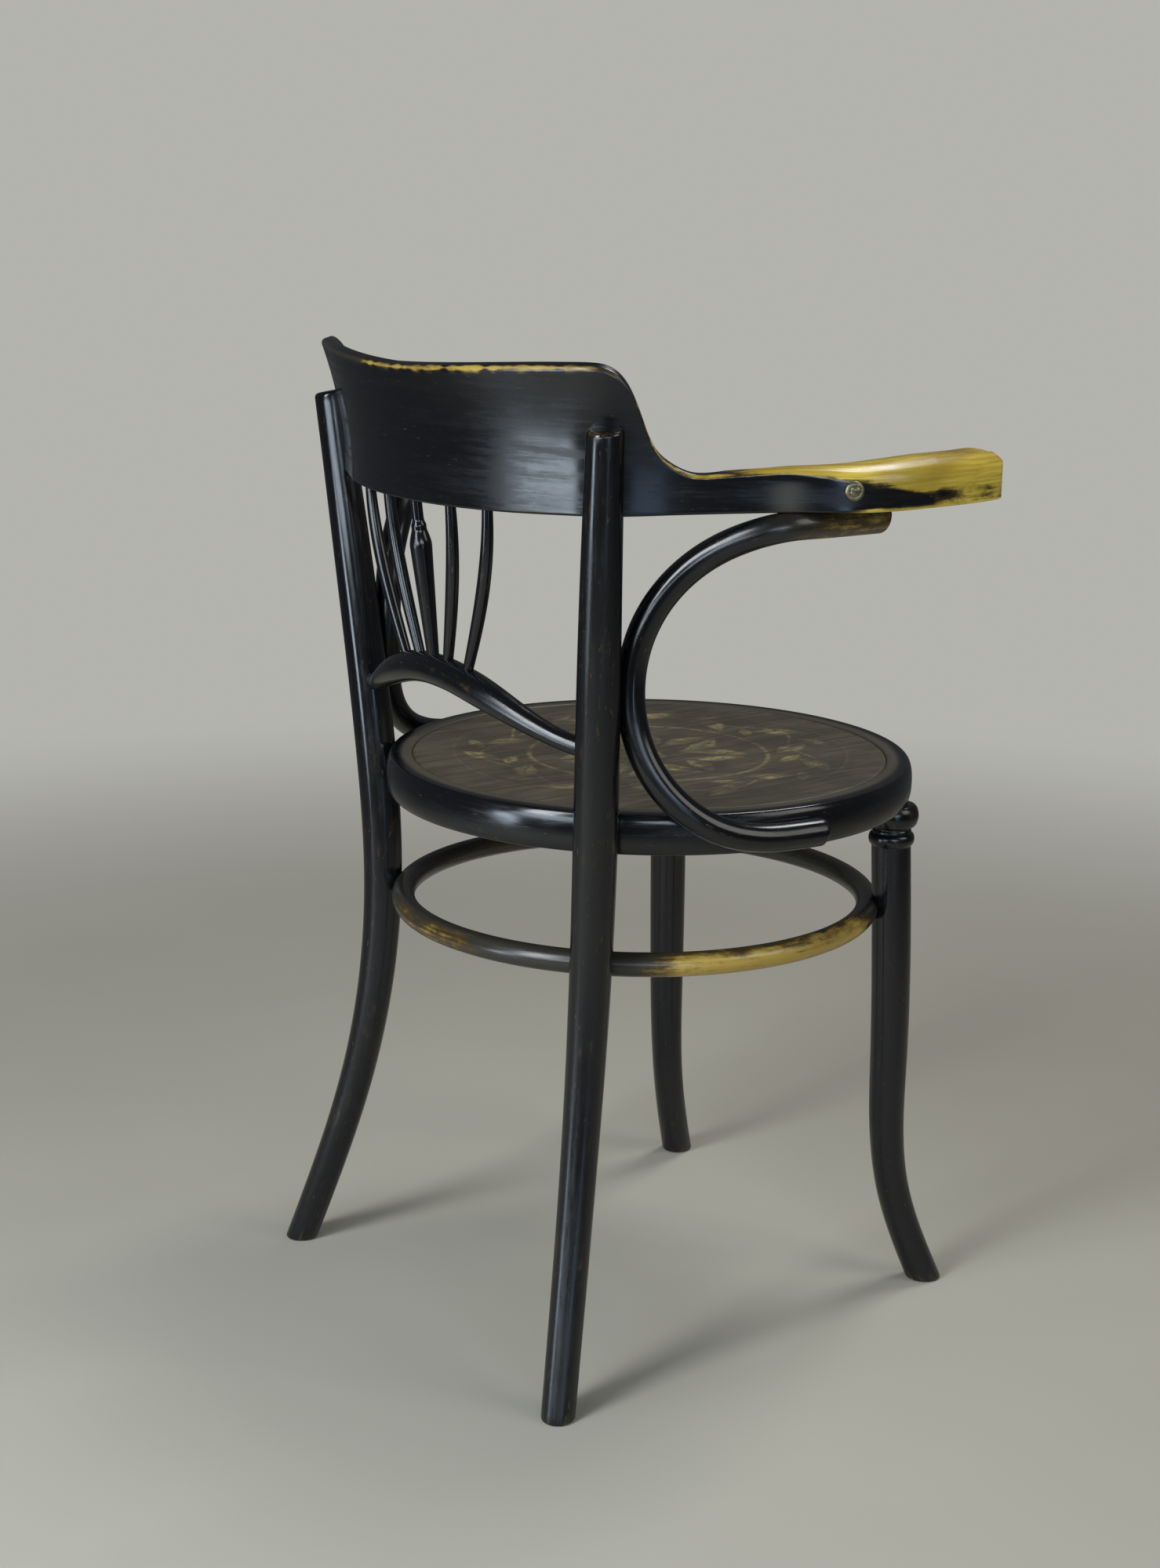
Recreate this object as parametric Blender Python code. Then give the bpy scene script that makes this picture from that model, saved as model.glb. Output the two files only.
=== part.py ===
"""Bentwood office armchair.

A round rimmed seat stands on two turned front legs and two bent rear legs, tied by a leg ring.
One bent board is both the crest rail and the arms. Bent rods carry the arms from the seat, and
an arched lower rail holds a fan of spindles under the crest.

Metres, +Z up. The front of the chair faces -Y and the sitter's right is -X. Everything is worked
out about the seat's centre, and a parent empty then puts the middle of the whole at the origin.
Side pieces are made for +X and mirrored.
"""

from math import atan, cos, hypot, pi, radians, sin, tau

import bmesh
import bpy
import numpy as np
from mathutils import Matrix, Vector

# Clearance between pieces that touch
GAP = 0.0003

# Seat
SEAT_HEIGHT = 0.4430
SEAT_RADIUS = 0.213
RIM_DEPTH = 0.0312
RIM_WIDTH = 0.045
RIM_ROUND = 0.0055
PANEL_BORDER = 0.021
PANEL_THICKNESS = 0.005
PANEL_DISH = 0.003

# Rear legs: (height, out in x, out in y) from the place where the leg passes the rim
REAR_LEG_ANGLE = radians(47.0)
REAR_LEG_HOUSING = 0.0035
REAR_LEG_HEIGHT = 0.7265
REAR_KNEE_HEIGHT = 0.150
REAR_BACK_HEIGHT = 0.580
REAR_FOOT_OUT = (0.0398, 0.0557)
REAR_KNEE_OUT = (0.0069, 0.0181)
REAR_RING_OUT = (-0.0058, -0.0017)
REAR_BACK_OUT = (0.0151, 0.0098)
REAR_TOP_OUT = (0.0326, 0.0204)
REAR_FOOT_DIAMETER = 0.0256
REAR_KNEE_DIAMETER = 0.0275
REAR_SEAT_DIAMETER = 0.0328
REAR_TOP_DIAMETER = 0.0265
REAR_TOP_SLOPE = radians(11)

# Front legs: turned, with a collar and a bead under the rim
FRONT_LEG_ANGLE = radians(-42.8)
FRONT_LEG_INSET = 0.0139
FRONT_SHIN_HEIGHT = 0.200
FRONT_ANKLE_HEIGHT = 0.075
FRONT_FOOT_OUT = (0.0229, -0.0375)
FRONT_ANKLE_OUT = (0.0076, -0.0138)
FRONT_SHIN_OUT = (0.0033, -0.0048)
FRONT_FOOT_DIAMETER = 0.0270
FRONT_ANKLE_DIAMETER = 0.0268
FRONT_SHIN_DIAMETER = 0.0304
FRONT_TOP_DIAMETER = 0.0316
COLLAR_DIAMETER = 0.042
COLLAR_HEIGHT = 0.0188
COLLAR_NECK = 0.005
BEAD_DIAMETER = 0.0367
BEAD_HEIGHT = 0.010
TENON_DIAMETER = 0.016
TENON_LENGTH = 0.020

# Leg ring, let into the four legs
RING_HEIGHT = 0.3242
RING_DIAMETER = 0.0186
RING_HOUSING_FRONT = 0.0056
RING_HOUSING_REAR = 0.0028

# Crest rail and arms, one bent board
BOARD_THICKNESS = 0.0115
BOARD_BOTTOM = 0.6645
CREST_WIDTH = 0.099
CREST_SAG = 0.004
CREST_BOW = 0.0497
CREST_FLARE = 0.0170
CREST_HOUSING = 0.010
CREST_TURN = radians(40)
DROP_LENGTH = 0.064
NECK_WIDTH = 0.0258
ARM_HALF_WIDTH = 0.2791
ARM_ELBOW_Y = 0.0265
ARM_REACH = 0.1525
ARM_RISE = 0.004
ARM_RISE_LENGTH = 0.150
ARM_WIDTH = 0.049
ARM_SIDE_WIDTH = 0.021
ARM_CROWN_WIDTH = 0.0358
ARM_TIP_ROUND = 0.012
PAD_START = 0.075
PAD_GROW = 0.120
CROWN_RISE = 0.190
ROUND_START = 0.120
ROUND_GROW = 0.070

# Arm supports, bent rods from the arm down past the rear leg to the rim
SUPPORT_DIAMETER = 0.0212
SUPPORT_HOUSING = 0.001
SUPPORT_DROP = 0.0018
SUPPORT_UNDER_ARM = 0.0355
SUPPORT_ALONG_ARM = 0.0897
SUPPORT_LOW_ANGLE = radians(1.4)
SUPPORT_LEG_HEIGHT = 0.526
SUPPORT_LEG_ANGLE = radians(-80)

# Lower back rail and spindles
LOWER_RAIL_HEIGHT = 0.4927
LOWER_RAIL_RISE = 0.0392
LOWER_RAIL_BOW = 0.0429
LOWER_RAIL_DIAMETER = 0.0240
LOWER_RAIL_TENON = 0.0145
LOWER_RAIL_OFFSET = (0.0023, -0.0059)
SPINDLE_FEET = (0.018, 0.0405)
SPINDLE_HEADS = (0.0431, 0.0815)
SPINDLE_DIAMETER = 0.0100
SPINDLE_TENON = 0.0076
SPINDLE_SOCKET = 0.008
CENTRE_SPINDLE_DIAMETER = 0.0168
CENTRE_SPINDLE_NECK = 0.0087

# Fasteners: shank diameter, head diameter, head height and length
WOOD_SCREW = {"shank": 0.0045, "head": 0.0090, "head_height": 0.0030}
RING_SCREW_LENGTH = 0.030
CREST_SCREW_LENGTH = 0.026
CREST_SCREW_HEIGHTS = (0.017, 0.044)
RIM_SCREW_LENGTH = 0.054
RIM_SCREW_ANGLES = (radians(5), radians(16))
SUPPORT_LEG_SCREW_LENGTH = 0.032
SUPPORT_LEG_SCREW_RECESS = 0.004
SUPPORT_ARM_SCREW_LENGTH = 0.034
SUPPORT_ARM_SCREW_Y = -0.0035
SEAT_BOLT = {"shank": 0.0070, "head": 0.0130, "head_height": 0.0050}
SEAT_BOLT_LENGTH = 0.062
ARM_SCREW = {"shank": 0.0050, "head": 0.0080, "head_height": 0.0025}
ARM_SCREW_LENGTH = 0.032
ARM_SCREW_ALONG = 0.174
ARM_SCREW_HEIGHT = 0.0155
ROSETTE_DIAMETER = 0.0140
ROSETTE_THICKNESS = 0.0022

# Facets
RIM_STEPS = 60
RING_POINTS = 48
SCREW_STEPS = 10

FINISHES = {
    "ebonised": {"colour": (0.012, 0.012, 0.014), "roughness": 0.25, "metallic": 0.0},
    "seat_ply": {"colour": (0.060, 0.048, 0.032), "roughness": 0.45, "metallic": 0.0},
    "steel": {"colour": (0.30, 0.29, 0.28), "roughness": 0.40, "metallic": 1.0},
    "brass": {"colour": (0.42, 0.33, 0.18), "roughness": 0.38, "metallic": 1.0},
}

# Heights that several pieces share
RIM_BOTTOM = SEAT_HEIGHT - RIM_DEPTH
RIM_MIDDLE = SEAT_HEIGHT - RIM_DEPTH / 2
BEAD_FOOT = RIM_BOTTOM - COLLAR_HEIGHT - COLLAR_NECK - BEAD_HEIGHT
SUPPORT_RADIUS = SUPPORT_DIAMETER / 2
ARM_BOTTOM = BOARD_BOTTOM + ARM_RISE


# Helpers: curves

def smooth_step(value):
    """0 to 1 with level ends, clipped outside that range."""
    t = np.clip(value, 0.0, 1.0)
    return t * t * (3 - 2 * t)


def natural_cubic(knots, rows, at):
    """Values at the given places of the natural cubic spline through rows at knots."""
    knots = np.asarray(knots, dtype=float)
    rows = np.asarray(rows, dtype=float).reshape(len(knots), -1)
    at = np.atleast_1d(np.asarray(at, dtype=float))
    step = np.diff(knots)
    system = np.eye(len(knots))
    bend = np.zeros_like(rows)
    for i in range(1, len(knots) - 1):
        system[i, i - 1:i + 2] = step[i - 1], 2 * (step[i - 1] + step[i]), step[i]
        bend[i] = 6 * ((rows[i + 1] - rows[i]) / step[i] - (rows[i] - rows[i - 1]) / step[i - 1])
    second = np.linalg.solve(system, bend)
    k = np.clip(np.searchsorted(knots, at) - 1, 0, len(knots) - 2)
    a = ((knots[k + 1] - at) / step[k])[:, None]
    b = 1 - a
    curve = ((a ** 3 - a) * second[k] + (b ** 3 - b) * second[k + 1]) * step[k, None] ** 2 / 6
    return a * rows[k] + b * rows[k + 1] + curve


def through(points, shares):
    """Points of a smooth curve through the given ones, at shares (0 to 1) of its chord length."""
    points = np.asarray(points, dtype=float)
    chords = np.linalg.norm(np.diff(points, axis=0), axis=1)
    knots = np.concatenate([[0.0], np.cumsum(chords)])
    return natural_cubic(knots, points, np.asarray(shares) * knots[-1])


def extended(path, length):
    """The path with both end points moved outwards by a length."""
    path = np.array(path, dtype=float)
    first = path[0] - path[1]
    last = path[-1] - path[-2]
    path[0] += first / np.linalg.norm(first) * length
    path[-1] += last / np.linalg.norm(last) * length
    return path


# Helpers: meshes

def drop(thing):
    """Remove an object from the file."""
    bpy.data.objects.remove(thing, do_unlink=True)


def place(mesh, name):
    """Put a mesh into the scene as an object."""
    thing = bpy.data.objects.new(name, mesh)
    bpy.context.collection.objects.link(thing)
    return thing


def finished(thing):
    """The object's evaluated shape as a new mesh."""
    graph = bpy.context.evaluated_depsgraph_get()
    return bpy.data.meshes.new_from_object(thing.evaluated_get(graph))


def from_bmesh(shape, name):
    """An object from a bmesh, merged and with its faces pointing out."""
    bmesh.ops.remove_doubles(shape, verts=shape.verts, dist=1e-6)
    bmesh.ops.recalc_face_normals(shape, faces=shape.faces)
    mesh = bpy.data.meshes.new(name)
    shape.to_mesh(mesh)
    shape.free()
    return place(mesh, name)


def rod(name, path, radii, sides=12, cyclic=False):
    """A round rod along a path, made as a bevelled curve with filled ends."""
    curve = bpy.data.curves.new(name, "CURVE")
    curve.dimensions = "3D"
    curve.bevel_depth = 1.0
    curve.bevel_resolution = (sides - 4) // 2
    curve.use_fill_caps = not cyclic
    line = curve.splines.new("POLY")
    line.points.add(len(path) - 1)
    line.use_cyclic_u = cyclic
    radii = np.broadcast_to(radii, len(path))
    for point, place_at, radius in zip(line.points, path, radii):
        point.co = (*place_at, 1.0)
        point.radius = radius
    guide = place(curve, name + "_path")
    shape = bmesh.new()
    shape.from_mesh(finished(guide))
    drop(guide)
    return from_bmesh(shape, name)


def turned(name, outline, steps):
    """An outline of (radius, height) turned about Z; ends on the axis close by themselves."""
    shape = bmesh.new()
    corners = [shape.verts.new((radius, 0.0, height)) for radius, height in outline]
    pairs = list(zip(corners, corners[1:]))
    if outline[0][0] > 0:
        pairs.append((corners[-1], corners[0]))
    edges = [shape.edges.new(pair) for pair in pairs]
    bmesh.ops.spin(shape, geom=corners + edges, cent=(0, 0, 0), axis=(0, 0, 1), angle=tau, steps=steps,
                   use_merge=True)
    return from_bmesh(shape, name)


def lofted(name, loops, middle=0):
    """A closed solid through loops of equal count; its facets are mirror images about the middle loop."""
    shape = bmesh.new()
    rings = [[shape.verts.new(tuple(point)) for point in loop] for loop in loops]
    for k, (one, two) in enumerate(zip(rings, rings[1:])):
        for i in range(len(one)):
            j = (i + 1) % len(one)
            if k < middle:
                shape.faces.new((one[i], one[j], two[j]))
                shape.faces.new((one[i], two[j], two[i]))
            else:
                shape.faces.new((one[i], one[j], two[i]))
                shape.faces.new((one[j], two[j], two[i]))
    shape.faces.new(rings[0])
    shape.faces.new(rings[-1])
    return from_bmesh(shape, name)


def boxed(name, low, high):
    """A plain box between two corners."""
    shape = bmesh.new()
    bmesh.ops.create_cube(shape, size=1.0)
    low = Vector(low)
    high = Vector(high)
    bmesh.ops.scale(shape, vec=high - low, verts=shape.verts)
    bmesh.ops.translate(shape, vec=(low + high) / 2, verts=shape.verts)
    return from_bmesh(shape, name)


def sawn(thing, point, normal):
    """Saw an object off at a plane, keep the side behind the normal and close the cut."""
    shape = bmesh.new()
    shape.from_mesh(thing.data)
    everything = shape.verts[:] + shape.edges[:] + shape.faces[:]
    bmesh.ops.bisect_plane(shape, geom=everything, plane_co=point, plane_no=normal, clear_outer=True)
    rim = [edge for edge in shape.edges if edge.is_boundary]
    bmesh.ops.holes_fill(shape, edges=rim)
    shape.to_mesh(thing.data)
    shape.free()


def carve(thing, cutters):
    """Cut the cutters out of an object."""
    for cutter in cutters:
        cut = thing.modifiers.new(cutter.name, "BOOLEAN")
        cut.operation = "DIFFERENCE"
        cut.solver = "EXACT"
        cut.object = cutter
    mesh = finished(thing)
    thing.modifiers.clear()
    thing.data = mesh


def mirrored(thing, name):
    """The same piece for the other side of the chair."""
    twin = place(thing.data.copy(), name)
    twin.data.transform(Matrix.Scale(-1, 4, (1, 0, 0)) @ thing.matrix_basis)
    twin.data.flip_normals()
    return twin


def finish(thing, name, smooth=radians(40)):
    """Give a piece its name, its own finish and smooth shading."""
    kind = FINISHES[name]
    material = bpy.data.materials.new(thing.name + "_" + name)
    material.use_nodes = True
    shader = material.node_tree.nodes["Principled BSDF"]
    shader.inputs["Base Color"].default_value = (*kind["colour"], 1.0)
    shader.inputs["Roughness"].default_value = kind["roughness"]
    shader.inputs["Metallic"].default_value = kind["metallic"]
    thing.data.materials.clear()
    thing.data.materials.append(material)
    thing.data.shade_smooth()
    thing.data.set_sharp_from_angle(angle=smooth)


# Fasteners

def screw_outline(kind, length, grow=0.0, reach=0.0):
    """Outline from the head's outer face at height 0 down to the point; grow and reach make its hole."""
    shank = kind["shank"] / 2 + grow
    head = kind["head"] / 2 + grow
    under_head = kind["head_height"] + grow
    return [(0.0, -reach), (head, -reach), (head, under_head), (shank, under_head),
            (shank, length - kind["shank"] + grow), (0.0, length + grow)]


def aimed(thing, point, direction):
    """Place a turned piece with its axis along a direction."""
    thing.location = point
    thing.rotation_mode = "QUATERNION"
    thing.rotation_quaternion = Vector(direction).to_track_quat("Z", "Y")
    bpy.context.view_layer.update()
    return thing


def screw(name, kind, length, point, direction):
    """A screw with its head's outer face at a point, and the cutter for its hole."""
    body = turned(name, screw_outline(kind, length), SCREW_STEPS)
    hole = turned(name + "_hole", screw_outline(kind, length, GAP, kind["head"]), SCREW_STEPS)
    return aimed(body, point, direction), aimed(hole, point, direction)


# Seat

def rim_outline(grow=0.0):
    """The rim's section as (radius, height), with a rounded outer side and the panel's rebate."""
    inner = SEAT_RADIUS - RIM_WIDTH
    half = RIM_DEPTH / 2 + grow
    swell = RIM_ROUND + grow
    side = [(SEAT_RADIUS - RIM_ROUND + swell * cos(turn), RIM_MIDDLE + half * sin(turn))
            for turn in np.linspace(-pi / 2, pi / 2, 7)]
    panel = SEAT_RADIUS - PANEL_BORDER + GAP
    ledge = SEAT_HEIGHT - PANEL_THICKNESS - GAP
    return [(inner, RIM_BOTTOM - grow)] + side + [(panel, SEAT_HEIGHT + grow), (panel, ledge), (inner, ledge)]


def make_panel():
    """The round seat panel, slightly dished, lying on the rim's ledge."""
    radius = SEAT_RADIUS - PANEL_BORDER
    flat = radius - RIM_WIDTH + PANEL_BORDER
    top = [(flat * share, SEAT_HEIGHT - PANEL_DISH * cos(share * pi / 2) ** 2)
           for share in np.linspace(0, 1, 5)]
    top.append((radius, SEAT_HEIGHT))
    under = [(place_at, height - PANEL_THICKNESS) for place_at, height in reversed(top)]
    return turned("seat_panel", top + under, 48)


# Legs

def polar(radius, angle):
    """A plan point from the seat's centre."""
    return np.array([radius * cos(angle), radius * sin(angle)])


REAR_SEAT_POINT = polar(SEAT_RADIUS + REAR_SEAT_DIAMETER / 2 - REAR_LEG_HOUSING, REAR_LEG_ANGLE)
FRONT_SEAT_POINT = polar(SEAT_RADIUS - FRONT_LEG_INSET, FRONT_LEG_ANGLE)


def rear_axis(height):
    """Plan points of the rear leg's axis at the given heights."""
    knots = (0.0, REAR_KNEE_HEIGHT, RING_HEIGHT, RIM_MIDDLE, REAR_BACK_HEIGHT, REAR_LEG_HEIGHT)
    out = (REAR_FOOT_OUT, REAR_KNEE_OUT, REAR_RING_OUT, (0, 0), REAR_BACK_OUT, REAR_TOP_OUT)
    return REAR_SEAT_POINT + natural_cubic(knots, out, height)


def rear_radius(height):
    """Radius of the rear leg at the given heights."""
    knots = (0.0, REAR_KNEE_HEIGHT, RIM_BOTTOM, REAR_LEG_HEIGHT)
    across = (REAR_FOOT_DIAMETER, REAR_KNEE_DIAMETER, REAR_SEAT_DIAMETER, REAR_TOP_DIAMETER)
    return natural_cubic(knots, across, height)[:, 0] / 2


def front_axis(height):
    """Plan points of the front leg's axis at the given heights; it is upright through the turned top."""
    knots = (0.0, FRONT_ANKLE_HEIGHT, FRONT_SHIN_HEIGHT, BEAD_FOOT)
    out = (FRONT_FOOT_OUT, FRONT_ANKLE_OUT, FRONT_SHIN_OUT, (0, 0))
    return FRONT_SEAT_POINT + natural_cubic(knots, out, np.minimum(height, BEAD_FOOT))


def front_radius(height):
    """Radius of the front leg below its bead at the given heights."""
    knots = (0.0, FRONT_ANKLE_HEIGHT, FRONT_SHIN_HEIGHT, BEAD_FOOT)
    across = (FRONT_FOOT_DIAMETER, FRONT_ANKLE_DIAMETER, FRONT_SHIN_DIAMETER, FRONT_TOP_DIAMETER)
    return natural_cubic(knots, across, height)[:, 0] / 2


def rear_rod(grow=0.0):
    """Axis points and radii of the rear leg."""
    heights = np.linspace(0.0, REAR_LEG_HEIGHT, 24)
    return np.column_stack([rear_axis(heights), heights]), rear_radius(heights) + grow


def make_rear_leg():
    """A bent leg from the floor to the crest, sawn level at the foot and sloping at the top."""
    path, radii = rear_rod()
    leg = rod("rear_leg_left", extended(path, REAR_FOOT_DIAMETER), radii, sides=12)
    sawn(leg, (0, 0, 0), (0, 0, -1))
    outward = polar(sin(REAR_TOP_SLOPE), REAR_LEG_ANGLE)
    sawn(leg, path[-1], (*outward, cos(REAR_TOP_SLOPE)))
    return leg


def front_profile():
    """Heights and radii up the front leg: shank, bead, neck, collar and tenon."""
    top = RIM_BOTTOM - GAP
    shank = np.linspace(0.0, BEAD_FOOT, 16)
    rows = list(zip(shank, front_radius(shank)))
    neck = FRONT_TOP_DIAMETER / 2
    for foot, tall, across in ((BEAD_FOOT, BEAD_HEIGHT, BEAD_DIAMETER),
                               (top - COLLAR_HEIGHT, COLLAR_HEIGHT, COLLAR_DIAMETER)):
        for turn in np.linspace(pi / 8, 7 * pi / 8, 5):
            rows.append((foot + tall * (1 - cos(turn)) / 2, neck + (across / 2 - neck) * sin(turn)))
    rows.append((top, neck))
    rows.append((top + GAP / 2, TENON_DIAMETER / 2))
    rows.append((top + TENON_LENGTH, TENON_DIAMETER / 2))
    return np.array(rows)


def make_front_leg():
    """A turned leg with a curved foot, sawn level at the floor."""
    rows = front_profile()
    path = np.column_stack([front_axis(rows[:, 0]), rows[:, 0]])
    toe = path[0] - path[1]
    path[0] += toe / np.linalg.norm(toe) * FRONT_FOOT_DIAMETER
    leg = rod("front_leg_left", path, rows[:, 1], sides=12)
    sawn(leg, (0, 0, 0), (0, 0, -1))
    return leg


def tenon_hole():
    """Cutter for the front leg's tenon in the rim."""
    low = RIM_BOTTOM - TENON_LENGTH / 4
    high = RIM_BOTTOM + TENON_LENGTH + GAP
    path = [(*FRONT_SEAT_POINT, low), (*FRONT_SEAT_POINT, high)]
    return rod("tenon_hole", path, (TENON_DIAMETER / 2 + GAP) / cos(pi / 12), sides=12)


def ring_circle():
    """Radius and centre of the leg ring's axis, from how deep it is let into the legs."""
    front = front_axis(RING_HEIGHT)[0]
    rear = rear_axis(RING_HEIGHT)[0]
    front_back = front_radius(RING_HEIGHT)[0] - RING_HOUSING_FRONT + RING_DIAMETER / 2
    rear_back = rear_radius(RING_HEIGHT)[0] - RING_HOUSING_REAR + RING_DIAMETER / 2
    further = rear_back - front_back
    centre = 0.0
    for _ in range(8):
        reach = hypot(front[0], front[1] - centre)
        apart = rear @ rear - front @ front - further ** 2 - 2 * further * reach
        centre = apart / (2 * (rear[1] - front[1]))
    return hypot(front[0], front[1] - centre) - front_back, centre


def ring_path():
    """Points round the leg ring's axis."""
    radius, centre = ring_circle()
    turn = np.arange(RING_POINTS) * tau / RING_POINTS
    height = np.full(RING_POINTS, RING_HEIGHT)
    return np.column_stack([radius * np.cos(turn), centre + radius * np.sin(turn), height])


# Crest rail and arms

def crest_contact():
    """Where the board's outer face meets the rear leg, and the outward normal there."""
    normal = np.array([cos(CREST_TURN), sin(CREST_TURN)])
    axis = rear_axis(BOARD_BOTTOM)[0]
    return axis - normal * (rear_radius(BOARD_BOTTOM)[0] - CREST_HOUSING), normal


def board_plan():
    """Control points of the board's outer bottom edge, from the middle of the back to an arm's tip."""
    contact, _ = crest_contact()
    bow_radius = (contact[0] ** 2 + CREST_BOW ** 2) / (2 * CREST_BOW)
    middle = contact[1] + CREST_BOW
    arc = [(x, middle - bow_radius + (bow_radius ** 2 - x ** 2) ** 0.5)
           for x in contact[0] * np.array([0.0, 0.3, 0.6, 0.86])]
    bend = contact + (0.0209, -0.0340)
    flank = contact + (0.0493, -0.0747)
    elbow = (ARM_HALF_WIDTH - 0.003, ARM_ELBOW_Y)
    sweep = 0.46 * flank + 0.54 * np.array(elbow) + (0.0016, 0.0)
    arm = [elbow] + [(ARM_HALF_WIDTH - inward, ARM_ELBOW_Y - share * ARM_REACH)
                     for inward, share in ((0.0004, 0.40), (0.0075, 0.77), (0.0179, 1.0))]
    return np.array(arc + [contact, bend, flank, sweep] + arm), len(arc)


def board_stations():
    """Plan points, outward normals, lengths from the leg and tip shrinkage along the board."""
    half, contact_index = board_plan()
    whole = np.vstack([half[:0:-1] * (-1, 1), half])
    chords = np.concatenate([[0.0], np.cumsum(np.linalg.norm(np.diff(whole, axis=0), axis=1))])
    length = chords[-1]
    middle = length / 2
    turn = np.linspace(0.0, 0.5 * pi, 4)
    tip = middle - ARM_TIP_ROUND * (1 - np.sin(turn))
    inner = np.linspace(0.0, tip[0], 40)[:-1]
    side = np.concatenate([inner, tip])
    shrink = np.concatenate([np.ones(len(inner)), np.cos(turn)])
    along = np.concatenate([-side[:0:-1], side])
    shrink = np.concatenate([shrink[:0:-1], shrink])
    points = natural_cubic(chords, whole, middle + along)
    ahead = natural_cubic(chords, whole, middle + along + GAP)
    behind = natural_cubic(chords, whole, middle + along - GAP)
    heading = ahead - behind
    heading /= np.linalg.norm(heading, axis=1)[:, None]
    normals = np.column_stack([-heading[:, 1], heading[:, 0]])
    contact_length = chords[len(half) - 1 + contact_index] - middle
    return points, normals, np.abs(along) - contact_length, contact_length, shrink


def board_levels(past_leg, contact_length):
    """Bottom and outer top height of the board, width of the arm and rise of its dome, at one station."""
    sag = CREST_SAG * max(0.0, 1 - ((past_leg + contact_length) / contact_length) ** 2)
    bottom = BOARD_BOTTOM - sag + ARM_RISE * smooth_step(past_leg / ARM_RISE_LENGTH)
    fallen = np.clip(past_leg / DROP_LENGTH, 0.0, 1.0)
    drop_share = smooth_step(fallen + 0.4 * fallen * (1 - fallen))
    risen = np.clip((past_leg - DROP_LENGTH) / CROWN_RISE, 0.0, 1.0)
    crown = NECK_WIDTH + (ARM_CROWN_WIDTH - NECK_WIDTH) * risen
    side = crown + (ARM_SIDE_WIDTH - crown) * smooth_step((past_leg - ROUND_START) / ROUND_GROW)
    top = bottom + CREST_WIDTH + (side - CREST_WIDTH) * drop_share
    width = BOARD_THICKNESS + (ARM_WIDTH - BOARD_THICKNESS) * smooth_step((past_leg - PAD_START) / PAD_GROW)
    return bottom, top, width, crown - side


def flare(height, bottom):
    """How far the board leans out at a height, and the slope of that lean."""
    share = (height - bottom) / CREST_WIDTH
    return CREST_FLARE * share ** 2, atan(2 * CREST_FLARE * share / CREST_WIDTH)


def arm_dome(inset, width, rise):
    """Height of the arm's rounded top above its side, at an inset from the outer face."""
    half = width / 2
    share = np.clip((inset - half) / half, -1.0, 1.0)
    return rise * (1 - share ** 2) ** 0.5


def board_section(past_leg, contact_length, grow=0.0):
    """The board's section as (inset, height), round from the outer bottom edge."""
    bottom, top, width, rise = board_levels(past_leg, contact_length)
    thick = BOARD_THICKNESS
    outer = []
    inner = []
    for share in (0.0, 0.3, 0.55, 0.8, 1.0):
        height = bottom + (top - bottom) * share
        lean, slope = flare(height, bottom)
        outer.append((-lean - grow, height))
        inner.append((thick * cos(slope) - lean + grow, height + thick * sin(slope) * share))
    crown = [arm_dome(thick * share, width, rise) for share in (0.35, 0.7, 1.0)]
    (low_inset, low), (high_inset, high) = outer[-1], inner[-1]
    ridge = [(low_inset + (high_inset - low_inset) * share, low + (high - low) * share + rise)
             for share, rise in zip((0.35, 0.7), crown)]
    inner[-1] = (high_inset, high + crown[-1])
    loop = np.array(outer + ridge + inner[::-1])
    loop[0, 1] -= grow
    loop[-1, 1] -= grow
    return loop


def pad_section(past_leg, contact_length):
    """The arm pad's section as (inset, height), beside the board's inner face."""
    bottom, top, width, rise = board_levels(past_leg, contact_length)
    face = BOARD_THICKNESS + GAP
    ease = (width - face) / 9
    insets = face + (width - face) * np.array([0.0, 0.35, 0.7, 0.9, 1.0])
    ridge = [(inset, top + arm_dome(inset, width, rise)) for inset in insets]
    return np.array([(face, bottom)] + ridge + [(width, bottom + ease), (width - ease, bottom)])


def board_loop(section, point, normal, shrink):
    """A section set up on its station in space, its corners drawn in to round an arm's tip."""
    corner = ARM_TIP_ROUND * (1 - shrink)
    low = section[:, 1].min()
    high = section[:, 1].max()
    share = (section[:, 1] - low) / (high - low)
    height = section[:, 1] + corner / 2 * (1 - 2 * share)
    drawn = np.clip(section[:, 0], corner * 0.8, ARM_WIDTH - corner)
    inset = np.where(corner > 0, drawn, section[:, 0])
    plan = point - normal * inset[:, None]
    return np.column_stack([plan, height])


def make_board(name, grow=0.0):
    """The bent board that is crest rail and arms."""
    points, normals, past_leg, contact_length, shrink = board_stations()
    loops = [board_loop(board_section(s, contact_length, grow), p, n, k)
             for p, n, s, k in zip(points, normals, past_leg, shrink)]
    return lofted(name, loops, len(loops) // 2)


def make_pad():
    """The left arm's pad, glued to the board's inner face."""
    points, normals, past_leg, contact_length, shrink = board_stations()
    chosen = [i for i in range(len(points)) if points[i, 0] > 0 and past_leg[i] > PAD_START + PAD_GROW / 6]
    return lofted("arm_pad_left", [board_loop(pad_section(past_leg[i], contact_length), points[i], normals[i],
                                              shrink[i]) for i in chosen])


def board_place(past_leg_wanted):
    """Plan point and outward normal of the board's outer face at a length past the left rear leg."""
    points, normals, past_leg, _, _ = board_stations()
    left = np.flatnonzero(points[:, 0] > 0)
    order = left[np.argsort(past_leg[left])]
    point = [np.interp(past_leg_wanted, past_leg[order], points[order, axis]) for axis in (0, 1)]
    normal = [np.interp(past_leg_wanted, past_leg[order], normals[order, axis]) for axis in (0, 1)]
    return np.array(point), np.array(normal) / hypot(*normal)


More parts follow.
